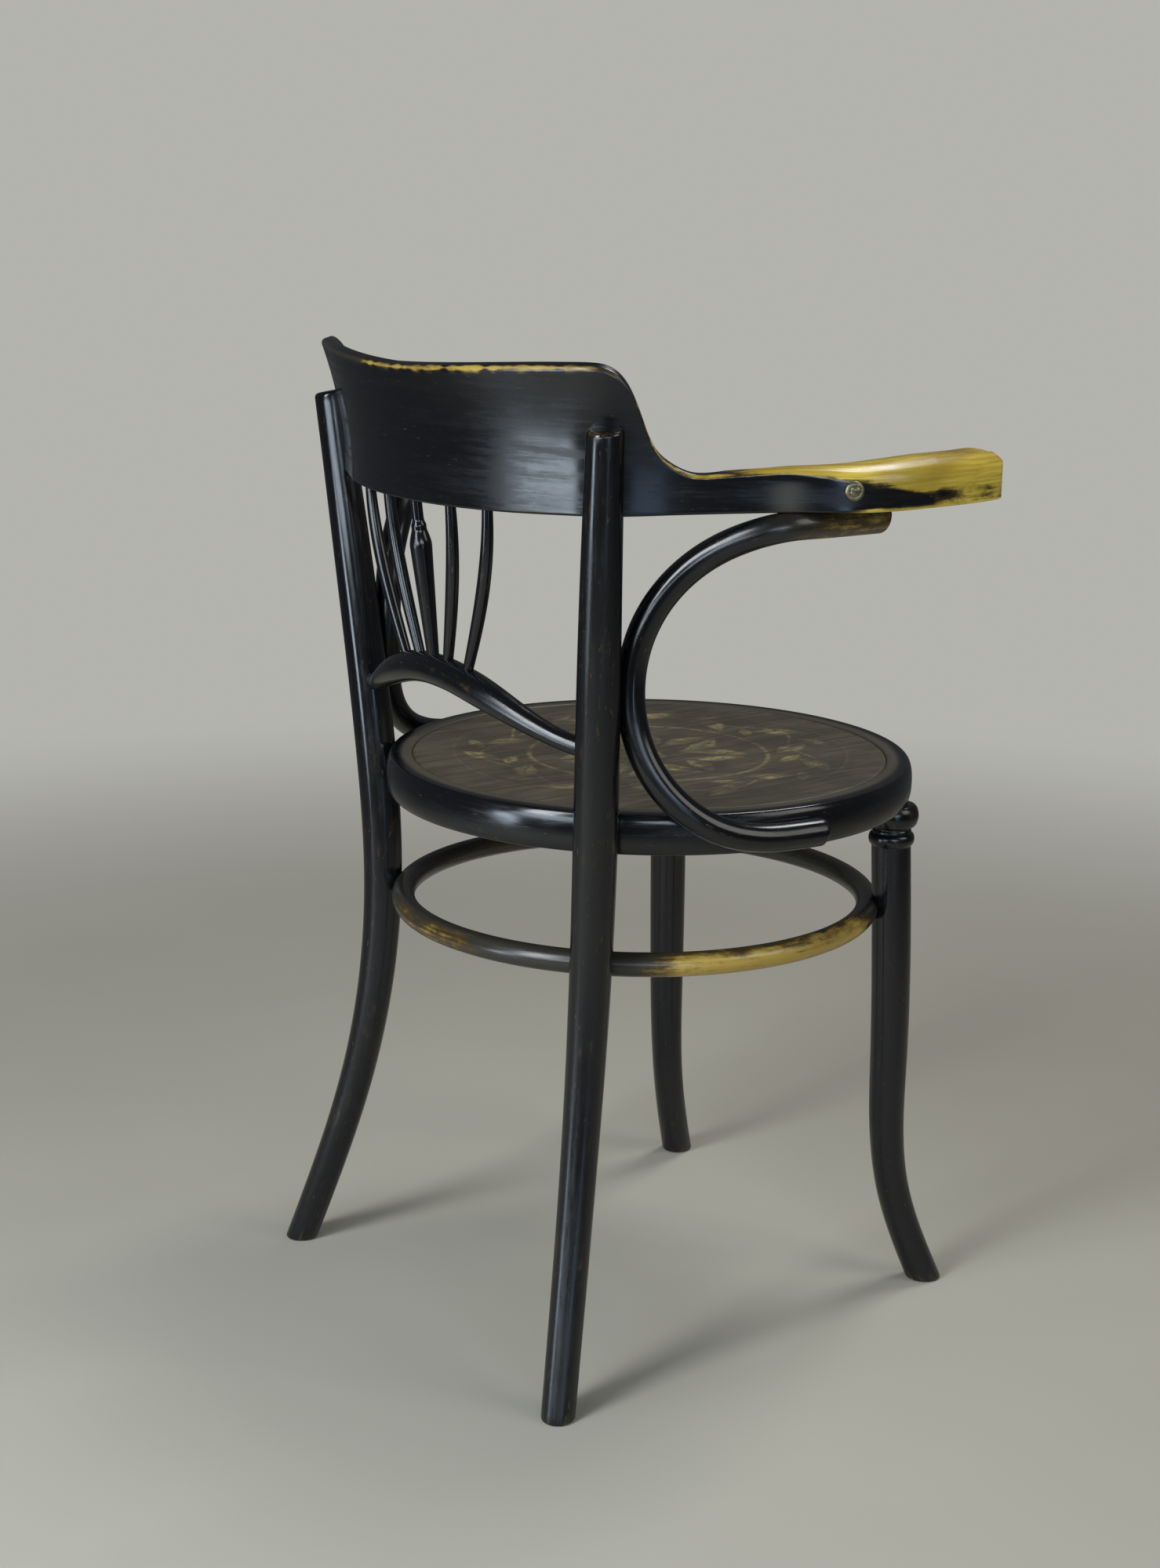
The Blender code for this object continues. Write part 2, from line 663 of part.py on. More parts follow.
def board_at_x(x):
    """Plan y of the board's outer bottom edge and the length past the leg, at a given x behind the seat."""
    points, _, past_leg, contact_length, _ = board_stations()
    rear = [i for i in range(len(points)) if past_leg[i] <= GAP]
    return np.interp(x, points[rear, 0], points[rear, 1]), np.interp(x, points[rear, 0], past_leg[rear])


# Arm supports

def support_path():
    """The rod's axis from its low end on the rim, past the rear leg, to its top end under the arm."""
    low = RIM_MIDDLE - SUPPORT_DROP
    high = ARM_BOTTOM - SUPPORT_RADIUS + SUPPORT_HOUSING / 2
    orbit = SEAT_RADIUS + SUPPORT_RADIUS - SUPPORT_HOUSING
    leg = rear_axis(SUPPORT_LEG_HEIGHT)[0]
    touch = rear_radius(SUPPORT_LEG_HEIGHT)[0] + SUPPORT_RADIUS - SUPPORT_HOUSING / 2
    waist = np.array([*(leg + polar(touch, SUPPORT_LEG_ANGLE)), SUPPORT_LEG_HEIGHT])
    rim = [(*polar(orbit, angle), low) for angle in np.linspace(SUPPORT_LOW_ANGLE, radians(12), 4)]
    leaving = [(*polar(orbit + 0.0053, radians(26.1)), low + 0.13 * (SUPPORT_LEG_HEIGHT - low)),
               (*polar(orbit + 0.0043, radians(36.9)), low + 0.53 * (SUPPORT_LEG_HEIGHT - low))]
    under_x = ARM_HALF_WIDTH - SUPPORT_UNDER_ARM
    under_y = ARM_ELBOW_Y + 0.040
    arm = [np.array([under_x, under_y - share * SUPPORT_ALONG_ARM, high]) for share in (0.0, 0.33, 0.65, 1.0)]
    rising = []
    for across, upward in ((0.081, 0.440), (0.562, 0.872)):
        point = waist + (arm[0] - waist) * across
        point[2] = SUPPORT_LEG_HEIGHT + (high - SUPPORT_LEG_HEIGHT) * upward
        rising.append(point)
    return through(rim + leaving + [waist] + rising + arm, np.linspace(0, 1, 38))


def make_support(rim_cutter, leg_cutter):
    """A bent rod, flattened against the rim, the leg and the arm's underside."""
    path = support_path()
    radii = np.full(len(path), SUPPORT_RADIUS)
    radii[[0, -1]] = SUPPORT_RADIUS * 0.72
    support = rod("arm_support_left", path, radii, sides=10)
    under_arm = ARM_BOTTOM - GAP
    arm = boxed("arm_plane", (0.0, -1.0, under_arm), (1.0, 1.0, under_arm + SUPPORT_DIAMETER))
    carve(support, [rim_cutter, leg_cutter, arm])
    drop(arm)
    return support


# Lower back rail and spindles

def lower_rail_end():
    """Plan point where the lower rail's axis ends inside the left rear leg."""
    return rear_axis(LOWER_RAIL_HEIGHT)[0] + LOWER_RAIL_OFFSET


def lower_rail_at(share):
    """Axis points of the lower rail at shares from -1 to 1 across the back."""
    share = np.atleast_1d(share)
    end = lower_rail_end()
    return np.column_stack([end[0] * share, end[1] + LOWER_RAIL_BOW * (1 - share ** 2),
                            LOWER_RAIL_HEIGHT + LOWER_RAIL_RISE * (1 - share ** 2) ** 2])


def lower_rail_radius(share):
    """Radius of the lower rail, thinned towards its ends."""
    thinned = smooth_step((np.abs(share) - 0.28) / 0.56)
    return (LOWER_RAIL_DIAMETER + (LOWER_RAIL_TENON - LOWER_RAIL_DIAMETER) * thinned) / 2


def make_lower_rail(name, grow=0.0):
    """The arched rail between the rear legs."""
    share = np.linspace(-1, 1, 33)
    return rod(name, extended(lower_rail_at(share), grow), lower_rail_radius(share) + grow, sides=12)


def spindle_path(foot_x, head_x, count):
    """A spindle's axis from its socket in the lower rail to its socket in the crest."""
    share = foot_x / lower_rail_end()[0]
    foot = lower_rail_at(share)[0]
    foot[2] += lower_rail_radius(share) - SPINDLE_SOCKET
    edge, past_leg = board_at_x(head_x)
    _, _, _, contact_length, _ = board_stations()
    bottom = board_levels(past_leg, contact_length)[0]
    head = np.array([head_x, edge - BOARD_THICKNESS / 2, bottom + SPINDLE_SOCKET])
    rise = np.linspace(0, 1, count)
    path = foot + (head - foot) * rise[:, None]
    path[:, 0] = foot_x + (head_x - foot_x) * np.sin(rise * pi / 2)
    return path, rise


def make_spindle(name, foot_x, head_x, grow=0.0):
    """A bent spindle, fuller in the middle."""
    path, rise = spindle_path(foot_x, head_x, 12)
    across = SPINDLE_TENON + (SPINDLE_DIAMETER - SPINDLE_TENON) * np.sin(rise * pi)
    return rod(name, extended(path, grow), across / 2 + grow, sides=10)


def make_centre_spindle(name, grow=0.0):
    """The turned middle spindle: a long taper up to a shoulder, then a neck."""
    path, rise = spindle_path(0.0, 0.0, 24)
    swell = CENTRE_SPINDLE_DIAMETER - CENTRE_SPINDLE_NECK
    swollen = np.clip(rise / 0.68, 0, 1) * (1 - smooth_step((rise - 0.68) / 0.18))
    across = CENTRE_SPINDLE_NECK + swell * swollen
    return rod(name, extended(path, grow), across / 2 + grow, sides=12)


# Fastener places on the left side

def ring_screw_places():
    """Head points and directions of the screws from inside the leg ring into the left legs."""
    radius, centre = ring_circle()
    places = {}
    for end, axis in (("front", front_axis(RING_HEIGHT)[0]), ("rear", rear_axis(RING_HEIGHT)[0])):
        outward = (axis - (0, centre)) / hypot(axis[0], axis[1] - centre)
        head = np.array([0, centre]) + outward * (radius - RING_DIAMETER / 2 + WOOD_SCREW["head_height"] / 2)
        places[end] = ((*head, RING_HEIGHT), (*outward, 0))
    return places


def crest_screw_places():
    """Head points and directions of the screws from the crest's inner face into the left rear leg."""
    contact, normal = crest_contact()
    places = []
    for rise in CREST_SCREW_HEIGHTS:
        lean, slope = flare(BOARD_BOTTOM + rise, BOARD_BOTTOM)
        face = contact + normal * (lean - BOARD_THICKNESS * cos(slope) + GAP)
        places.append(((*face, BOARD_BOTTOM + rise), (*normal, 0)))
    return places


def rim_screw_places():
    """Head points and directions of the screws from inside the rim into the left arm support."""
    inner = SEAT_RADIUS - RIM_WIDTH
    height = RIM_MIDDLE - SUPPORT_DROP
    return [((*polar(inner, angle), height), (*polar(1, angle), 0)) for angle in RIM_SCREW_ANGLES]


def seat_bolt_place():
    """Head point and direction of the bolt from inside the rim into the left rear leg."""
    inner = SEAT_RADIUS - RIM_WIDTH - SEAT_BOLT["head_height"] - GAP
    height = RIM_BOTTOM + RIM_DEPTH * 0.4
    return (*polar(inner, REAR_LEG_ANGLE), height), (*polar(1, REAR_LEG_ANGLE), 0)


def support_leg_screw_place():
    """Head point and direction of the screw through the left arm support into the rear leg."""
    leg = rear_axis(SUPPORT_LEG_HEIGHT)[0]
    away = polar(1, SUPPORT_LEG_ANGLE)
    far_side = rear_radius(SUPPORT_LEG_HEIGHT)[0] + SUPPORT_DIAMETER - SUPPORT_LEG_SCREW_RECESS
    return (*(leg + away * far_side), SUPPORT_LEG_HEIGHT), (*(-away), 0)


def support_arm_screw_place():
    """Head point and direction of the screw up through the left arm support into the pad."""
    x = ARM_HALF_WIDTH - SUPPORT_UNDER_ARM
    return (x, SUPPORT_ARM_SCREW_Y, ARM_BOTTOM - SUPPORT_DIAMETER + WOOD_SCREW["head_height"]), (0, 0, 1)


def rosette_outline():
    """A domed washer's section, with a hole for the arm screw."""
    hole = ARM_SCREW["shank"] / 2 + GAP
    rim = ROSETTE_DIAMETER / 2
    return [(hole, 0.0), (rim, 0.0), (rim - ROSETTE_THICKNESS / 4, ROSETTE_THICKNESS / 2),
            (rim - ROSETTE_THICKNESS, ROSETTE_THICKNESS), (hole, ROSETTE_THICKNESS)]


def arm_screw_place():
    """Point on the left arm's outer face and its outward normal, where the pad's screw goes in."""
    point, normal = board_place(ARM_SCREW_ALONG)
    lean, slope = flare(ARM_BOTTOM + ARM_SCREW_HEIGHT, ARM_BOTTOM)
    face = np.array([*(point + normal * lean), ARM_BOTTOM + ARM_SCREW_HEIGHT])
    return face, np.array([*(normal * cos(slope)), -sin(slope)])


# Assembly

def both_sides(thing, finish_name):
    """Finish a left piece and add its right twin."""
    twin = mirrored(thing, thing.name.replace("left", "right"))
    finish(thing, finish_name)
    finish(twin, finish_name)


def build():
    """Make every piece, cut the joints and stand the chair on its origin."""
    for thing in list(bpy.data.objects):
        drop(thing)

    rim = turned("seat_rim", rim_outline(), RIM_STEPS)
    panel = make_panel()
    rear_leg = make_rear_leg()
    front_leg = make_front_leg()
    ring = rod("leg_ring", ring_path(), RING_DIAMETER / 2, sides=10, cyclic=True)
    board = make_board("crest_and_arm_rail")
    pad = make_pad()
    lower_rail = make_lower_rail("back_lower_rail")
    spindles = [make_centre_spindle("spindle_centre")]
    spindle_holes = [make_centre_spindle("spindle_centre_hole", GAP)]
    for place_name, foot_x, head_x in zip(("inner", "outer"), SPINDLE_FEET, SPINDLE_HEADS):
        for side, sign in (("left", 1), ("right", -1)):
            name = "spindle_" + place_name + "_" + side
            spindles.append(make_spindle(name, sign * foot_x, sign * head_x))
            spindle_holes.append(make_spindle(name + "_hole", sign * foot_x, sign * head_x, GAP))

    rim_cutter = turned("rim_cutter", rim_outline(GAP), RIM_STEPS)
    ring_cutter = rod("ring_cutter", ring_path(), RING_DIAMETER / 2 + GAP, sides=10, cyclic=True)
    board_cutter = make_board("board_cutter", GAP)
    rail_cutter = make_lower_rail("rail_cutter", GAP)
    leg_cutter = rod("leg_cutter", *rear_rod(GAP), sides=12)
    support = make_support(rim_cutter, leg_cutter)

    screws = []
    holes = {}
    for end, (point, direction) in ring_screw_places().items():
        name = "ring_screw_" + end + "_left"
        body, holes["ring_" + end] = screw(name, WOOD_SCREW, RING_SCREW_LENGTH, point, direction)
        screws.append(body)
    for number, (point, direction) in enumerate(crest_screw_places()):
        name = "crest_screw_" + ("low", "high")[number] + "_left"
        body, holes["crest_" + str(number)] = screw(name, WOOD_SCREW, CREST_SCREW_LENGTH, point, direction)
        screws.append(body)
    for number, (point, direction) in enumerate(rim_screw_places()):
        name = "support_rim_screw_" + ("front", "rear")[number] + "_left"
        body, holes["rim_" + str(number)] = screw(name, WOOD_SCREW, RIM_SCREW_LENGTH, point, direction)
        screws.append(body)
    body, holes["seat"] = screw("seat_bolt_left", SEAT_BOLT, SEAT_BOLT_LENGTH, *seat_bolt_place())
    screws.append(body)
    body, holes["support_leg"] = screw("support_leg_screw_left", WOOD_SCREW, SUPPORT_LEG_SCREW_LENGTH,
                                       *support_leg_screw_place())
    screws.append(body)
    body, holes["support_arm"] = screw("support_arm_screw_left", WOOD_SCREW, SUPPORT_ARM_SCREW_LENGTH,
                                       *support_arm_screw_place())
    screws.append(body)
    face, normal = arm_screw_place()
    head = face + normal * (ROSETTE_THICKNESS + ARM_SCREW["head_height"] + 2 * GAP)
    arm_screw, holes["arm"] = screw("arm_screw_left", ARM_SCREW, ARM_SCREW_LENGTH, head, -normal)
    rosette = turned("arm_rosette_left", rosette_outline(), 2 * SCREW_STEPS)
    aimed(rosette, face + normal * GAP, normal)

    carve(rear_leg, [rim_cutter, ring_cutter, board_cutter, rail_cutter, holes["ring_rear"], holes["crest_0"],
                     holes["crest_1"], holes["seat"], holes["support_leg"]])
    carve(front_leg, [ring_cutter, holes["ring_front"]])
    carve(support, [holes["rim_0"], holes["rim_1"], holes["support_leg"], holes["support_arm"]])
    carve(pad, [holes["arm"], holes["support_arm"]])
    tenon = tenon_hole()
    for thing, cuts in ((ring, ("ring_front", "ring_rear")), (board, ("crest_0", "crest_1", "arm")),
                        (rim, ("rim_0", "rim_1", "seat"))):
        cutters = [holes[cut] for cut in cuts] + ([tenon] if thing is rim else [])
        twins = [mirrored(cutter, cutter.name + "_right") for cutter in cutters]
        carve(thing, cutters + twins + (spindle_holes if thing is board else []))
        for twin in twins:
            drop(twin)
    carve(lower_rail, spindle_holes)
    for cutter in [rim_cutter, ring_cutter, board_cutter, rail_cutter, leg_cutter, tenon, *holes.values(),
                   *spindle_holes]:
        drop(cutter)

    for thing in (rim, ring, board, lower_rail, *spindles):
        finish(thing, "ebonised")
    finish(panel, "seat_ply")
    for thing in (rear_leg, front_leg, support, pad):
        both_sides(thing, "ebonised")
    for thing in screws:
        both_sides(thing, "steel")
    both_sides(arm_screw, "brass")
    both_sides(rosette, "brass")


def centre():
    """Parent every piece to an empty that puts the middle of the chair's plan at the origin."""
    bpy.context.view_layer.update()
    pieces = list(bpy.data.objects)
    corners = [(thing.matrix_world @ vertex.co).y for thing in pieces for vertex in thing.data.vertices]
    chair = bpy.data.objects.new("chair", None)
    bpy.context.collection.objects.link(chair)
    for thing in pieces:
        thing.parent = chair
    chair.location.y = -(min(corners) + max(corners)) / 2
    bpy.context.view_layer.update()
    print("seat centre at y", round(chair.location.y, 5), "of", len(pieces), "pieces")


build()
centre()
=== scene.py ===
# %% [markdown]
# # A worn bentwood office armchair
# The chair is made of beech rods and boards, steamed, bent and stained black. Its lacquer has worn
# through to golden wood where hands and shoes rub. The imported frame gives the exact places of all
# pieces; this lesson builds each visible piece again as a fine numpy surface and gives it a finish.

# %% Load the frame
from math import cos, pi, radians, sin, tau

import bpy
import numpy as np
from mathutils import Matrix, Vector


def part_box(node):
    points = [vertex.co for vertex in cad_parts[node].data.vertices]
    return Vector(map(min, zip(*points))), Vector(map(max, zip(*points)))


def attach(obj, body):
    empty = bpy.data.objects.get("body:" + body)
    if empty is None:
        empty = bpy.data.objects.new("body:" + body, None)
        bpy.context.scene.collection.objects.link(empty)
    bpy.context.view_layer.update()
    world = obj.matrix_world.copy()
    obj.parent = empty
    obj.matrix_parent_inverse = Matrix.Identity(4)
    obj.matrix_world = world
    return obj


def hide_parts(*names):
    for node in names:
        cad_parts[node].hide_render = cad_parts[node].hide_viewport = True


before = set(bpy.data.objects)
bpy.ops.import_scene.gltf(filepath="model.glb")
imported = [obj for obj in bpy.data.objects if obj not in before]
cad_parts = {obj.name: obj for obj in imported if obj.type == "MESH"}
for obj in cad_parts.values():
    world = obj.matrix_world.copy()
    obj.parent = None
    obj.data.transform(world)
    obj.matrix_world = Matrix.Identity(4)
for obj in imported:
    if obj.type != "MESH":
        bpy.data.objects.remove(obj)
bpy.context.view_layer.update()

# %% [markdown]
# ## Sizes
# All sizes are in metres about the seat's centre, as a maker would list them. The whole is then
# moved by SEAT_Y, because the frame's origin lies under the middle of the chair's box.

# %% Sizes
GAP = 0.0003
SEAT_Y = float(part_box("seat_rim")[0][1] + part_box("seat_rim")[1][1]) / 2
SEAT_HEIGHT = 0.4430
SEAT_RADIUS = 0.213
RIM_DEPTH = 0.0312
RIM_BOTTOM = SEAT_HEIGHT - RIM_DEPTH
RIM_MIDDLE = SEAT_HEIGHT - RIM_DEPTH / 2
PANEL_RADIUS = 0.192
BOARD_THICKNESS = 0.0115
BOARD_BOTTOM = 0.6645
ARM_RISE = 0.004
ARM_BOTTOM = BOARD_BOTTOM + ARM_RISE
RING_HEIGHT = 0.3242
print("seat centre at y", round(SEAT_Y, 5))

# %% [markdown]
# ## Smooth curves
# Bent wood has no corners, so every path is a natural cubic spline: piecewise cubics through the
# given points whose slope and curvature run on without a break, straight at both ends.

# %% Curves
def smooth_step(value):
    """0 to 1 as 3 t squared minus 2 t cubed, clipped."""
    t = np.clip(value, 0.0, 1.0)
    return t * t * (3 - 2 * t)


def natural_cubic(knots, rows, at):
    """Natural cubic spline through rows at knots: solve for the second derivatives, then blend."""
    knots = np.asarray(knots, dtype=float)
    rows = np.asarray(rows, dtype=float).reshape(len(knots), -1)
    at = np.atleast_1d(np.asarray(at, dtype=float))
    step = np.diff(knots)
    inside = np.arange(1, len(knots) - 1)
    system = np.eye(len(knots))
    system[inside, inside - 1] = step[:-1]
    system[inside, inside] = 2 * (step[:-1] + step[1:])
    system[inside, inside + 1] = step[1:]
    slopes = np.diff(rows, axis=0) / step[:, None]
    bend = np.zeros_like(rows)
    bend[1:-1] = 6 * np.diff(slopes, axis=0)
    second = np.linalg.solve(system, bend)
    k = np.clip(np.searchsorted(knots, at) - 1, 0, len(knots) - 2)
    a = ((knots[k + 1] - at) / step[k])[:, None]
    b = 1 - a
    curve = ((a ** 3 - a) * second[k] + (b ** 3 - b) * second[k + 1]) * step[k, None] ** 2 / 6
    return a * rows[k] + b * rows[k + 1] + curve


def chord_lengths(points):
    """Length along a polyline at each of its points, from 0."""
    return np.concatenate([[0.0], np.cumsum(np.linalg.norm(np.diff(points, axis=0), axis=1))])


def through(points, count):
    """Evenly spread points of the spline through the given ones."""
    points = np.asarray(points, dtype=float)
    knots = chord_lengths(points)
    return natural_cubic(knots, points, np.linspace(0, knots[-1], count))


def polar(radius, angle):
    """A plan point from the seat's centre."""
    return np.array([radius * cos(angle), radius * sin(angle)])


print("curve helpers ready")

# %% [markdown]
# ## From rings to a mesh
# A rod or a board is a row of closed rings. Joining each ring to the next with quads gives the skin,
# and a fan closes each end. Each point also keeps its place in the wood, along the grain and across
# it, so that grain and wear follow the bend, and three numbers: how worn, how dull and how matt it is.
# The dull number also carries the painted reflection band on the right arm, a lighter grey-brown.

# %% Skins
def ring_faces(rings, count, looped):
    """Vertex numbers of the quads between neighbouring rings, as one array."""
    first = np.arange(rings if looped else rings - 1)[:, None] * count
    second = (first + count) % (rings * count)
    here = np.arange(count)[None, :]
    there = (here + 1) % count
    return np.stack([first + here, first + there, second + there, second + here], axis=-1).reshape(-1, 4)


def fan(centre, ring):
    """Triangles from a centre point to each side of a ring of points."""
    return np.stack([np.full(len(ring), centre), ring, np.roll(ring, -1)], axis=-1)


def signed_volume(points, triangles):
    """Sum of the volumes of the tetrahedra from the points' middle to each triangle."""
    a, b, c = np.moveaxis(points[triangles] - points.mean(axis=0), 1, 0)
    return np.einsum("ij,ij->", a, np.cross(b, c)) / 6


def store(mesh, name, values):
    """Keep a number or a vector for each point as a named attribute."""
    values = np.asarray(values, dtype=np.float32)
    kind, field = ("FLOAT_VECTOR", "vector") if values.ndim == 2 else ("FLOAT", "value")
    mesh.attributes.new(name, kind, "POINT").data.foreach_set(field, values.ravel())


def skin(name, rings, run, wear=0.0, dull_and_painted_gleam=0.0, matte=0.0, looped=False, crease=50):
    """A closed skin over rings (n, m, 3); run is each point's place in the wood."""
    n, m, _ = rings.shape
    points = rings.reshape(-1, 3) + (0.0, SEAT_Y, 0.0)
    quads = ring_faces(n, m, looped)
    values = [run.reshape(-1, 3)]
    values += [np.broadcast_to(value, (n, m)).ravel() for value in (wear, dull_and_painted_gleam, matte)]
    caps = np.zeros((0, 3), dtype=int)
    if not looped:
        first = np.arange(m)
        last = first + (n - 1) * m
        caps = np.vstack([fan(n * m, first[::-1]), fan(n * m + 1, last)])
        points = np.vstack([points, points[first].mean(axis=0), points[last].mean(axis=0)])
        values = [np.concatenate([v, [v[first].mean(axis=0)], [v[last].mean(axis=0)]]) for v in values]
    triangles = np.vstack([quads[:, :3], quads[:, (0, 2, 3)], caps])
    if signed_volume(points, triangles) < 0:
        quads, caps = quads[:, ::-1], caps[:, ::-1]
    mesh = bpy.data.meshes.new(name)
    mesh.from_pydata(points, [], quads.tolist() + caps.tolist())
    for label, value in zip(("run", "wear", "dull_and_painted_gleam", "matte"), values):
        store(mesh, label, value)
    mesh.shade_smooth()
    mesh.set_sharp_from_angle(angle=radians(crease))
    piece = bpy.data.objects.new(name, mesh)
    bpy.context.collection.objects.link(piece)
    return piece


def dress(piece, slot, *nodes):
    """Let a piece ride on the chair and stand for its frame nodes; the slot argument is not used."""
    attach(piece, "root")
    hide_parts(*nodes)
    print(piece.name, "for", ", ".join(nodes), "with", len(piece.data.polygons), "faces")
    return piece


def other_side(rings):
    """The same rings for the sitter's right."""
    return rings * (-1.0, 1.0, 1.0)


def other_grain(run, shift):
    """Grain of another piece of wood: the same places, moved along the grain."""
    return run + (shift, 0, 0)


print("skin helpers ready")

# %% [markdown]
# ## Rods
# A steam-bent rod is a circle carried along a path. The legs are cut level at the floor, so their
# rings are kept level and stretched along the lean by one over its cosine, which leaves the rod round.
# Other rods use rings square to the path.

# %% Rods
def level_rod(axis, radii, heights, count):
    """Level rings: axis plus radius times (identity plus (stretch minus 1) times lean lean-transposed)."""
    turn = np.arange(count) * tau / count
    circle = np.stack([np.cos(turn), np.sin(turn)], axis=-1)
    lean = np.gradient(axis, heights, axis=0)
    steep = np.linalg.norm(lean, axis=1)
    toward = lean / np.maximum(steep, 1e-9)[:, None]
    stretch = np.sqrt(1 + steep ** 2) - 1
    along = circle @ toward.T
    plan = circle[None] + stretch[:, None, None] * along.T[:, :, None] * toward[:, None, :]
    plan = axis[:, None, :] + radii[:, None, None] * plan
    levels = np.broadcast_to(heights[:, None, None], (*plan.shape[:2], 1))
    rings = np.concatenate([plan, levels], axis=2)
    return rings, rod_run(heights, radii, turn)


def rod_run(along, radii, turn):
    """Place in a rod's wood: length along it, and the two coordinates across it."""
    along = np.broadcast_to(np.asarray(along)[:, None], (len(along), len(turn)))
    radii = np.asarray(radii)[:, None]
    return np.stack([along, radii * np.cos(turn)[None], radii * np.sin(turn)[None]], axis=-1)


def square_rod(path, radii, reference, count):
    """Rings square to the path: path plus radius times (cosine side plus sine up)."""
    turn = np.arange(count) * tau / count
    heading = np.gradient(path, axis=0)
    heading /= np.linalg.norm(heading, axis=1)[:, None]
    side = np.array(reference) - heading * (heading @ np.array(reference))[:, None]
    side /= np.linalg.norm(side, axis=1)[:, None]
    up = np.cross(heading, side)
    ring = np.cos(turn)[None, :, None] * side[:, None] + np.sin(turn)[None, :, None] * up[:, None]
    rings = path[:, None] + np.asarray(radii)[:, None, None] * ring
    return rings, rod_run(chord_lengths(path), radii, turn)


print("rod helpers ready")

# %% [markdown]
# ## Rear legs
# One rod runs from the floor past the seat up to the crest, swelling to its thickest at the seat. It
# could be a Blender curve with a bevel, but level rings let the foot stand flat and let the radius
# follow the swelling of the real rod.

# %% Rear leg's shape
REAR_ANGLE = radians(47.0)
REAR_HEIGHT = 0.7265
REAR_DIAMETER = 0.0328
REAR_LET_IN = 0.0035
REAR_SEAT = polar(SEAT_RADIUS + REAR_DIAMETER / 2 - REAR_LET_IN, REAR_ANGLE)


def rear_axis(height):
    """The rear leg's axis in plan: its place at the seat plus a spline of offsets at six heights."""
    knots = (0.0, 0.150, RING_HEIGHT, RIM_MIDDLE, 0.580, REAR_HEIGHT)
    out = ((0.0398, 0.0557), (0.0069, 0.0181), (-0.0058, -0.0017),
           (0, 0), (0.0151, 0.0098), (0.0326, 0.0204))
    return REAR_SEAT + natural_cubic(knots, out, height)


def rear_radius(height):
    """The rear leg's radius: a spline that is thickest under the rim."""
    knots = (0.0, 0.150, RIM_BOTTOM, REAR_HEIGHT)
    return natural_cubic(knots, (0.0128, 0.01375, REAR_DIAMETER / 2, 0.01325), height)[:, 0]


print("rear leg", round(2000 * float(rear_radius(RIM_BOTTOM)[0]), 1), "mm thick at the seat")

# %% [markdown]
# The ends are rounded a little, so rings crowd there and are drawn in along a quarter circle. The legs
# shine less towards the floor, where dust and shoes reach them, which the matte value keeps.

# %% Leg ends and dust
DUST_HEIGHT = 0.10
DUST_FADE = 0.28
SHANK_RINGS = 150


def floor_dust(heights):
    """How matt a leg is: 1 near the floor, falling smoothly to 0 over the fade."""
    return 1 - smooth_step((heights - DUST_HEIGHT) / DUST_FADE)[:, None]


def edge_heights(top, edge):
    """Heights up a post with extra rings in its rounded ends, and how far each ring is drawn in."""
    turn = np.linspace(0, pi / 2, 6)
    foot_edge = edge * 0.6
    foot = foot_edge * (1 - np.cos(turn))
    head = top - edge + edge * np.sin(turn)
    shank = np.linspace(foot_edge, top - edge, SHANK_RINGS)[1:-1]
    drawn = [foot_edge * (1 - np.sin(turn)), np.zeros(SHANK_RINGS - 2), edge * (1 - np.cos(turn))]
    return np.concatenate([foot, shank, head]), np.concatenate(drawn)


print("legs are matt up to", DUST_HEIGHT, "m and glossy from", DUST_HEIGHT + DUST_FADE, "m")

# %% [markdown]
# The top is sawn with a slope that falls away from the seat: each ring's points go down by the slope
# times their distance outward. Wear is strongest on the sawn edge and at the foot.

# %% Rear legs
TOP_SLOPE = radians(11)
SAWN_LENGTH = 0.06
LEG_SIDES = 40
heights, drawn = edge_heights(REAR_HEIGHT, 0.0032)
radii = rear_radius(heights)
rings, run = level_rod(rear_axis(heights), radii - drawn, heights, LEG_SIDES)
outward = rings[:, :, :2] - rear_axis(heights)[:, None]
fall = outward @ polar(1.0, REAR_ANGLE)
sloped = smooth_step((heights - REAR_HEIGHT + SAWN_LENGTH) / SAWN_LENGTH)[:, None]
rings[:, :, 2] -= np.tan(TOP_SLOPE) * sloped * fall
top_wear = smooth_step((heights - REAR_HEIGHT + 0.007) / 0.007)[:, None] * (0.32 + 0.16 * fall / 0.013)
foot_wear = 0.36 * smooth_step(1 - heights / 0.02)[:, None]
leg_scuffs = 0.20 + 0.10 * np.sin(heights * 40.0)[:, None] ** 2
rear_wear = np.maximum(np.maximum(top_wear, foot_wear), leg_scuffs)
dust = floor_dust(heights)
rear_left = skin("rear_leg_left_rod", rings, run, rear_wear, matte=dust)
rear_right = skin("rear_leg_right_rod", other_side(rings), other_grain(run, 3.1), rear_wear, matte=dust)
rear_legs = [dress(rear_left, "ebonised", "rear_leg_left"),
             dress(rear_right, "ebonised", "rear_leg_right")]

# %% [markdown]
# ## Front legs
# The front legs are turned at the top: a bead, a short neck and a fat collar under the rim, with a
# tenon into it. Lower down they are plain and bend outward into the foot. A turned profile alone
# can't bend, so the radius is a function of height and the rings follow a bent axis.

# %% Front leg's shape
FRONT_ANGLE = radians(-42.8)
FRONT_SEAT = polar(SEAT_RADIUS - 0.0139, FRONT_ANGLE)
COLLAR_TALL = 0.0188
NECK_TALL = 0.005
BEAD_TALL = 0.010
COLLAR_FOOT = RIM_BOTTOM - GAP - COLLAR_TALL
BEAD_FOOT = RIM_BOTTOM - COLLAR_TALL - NECK_TALL - BEAD_TALL
SHANK_KNOTS = (0.0, 0.075, 0.200, BEAD_FOOT)


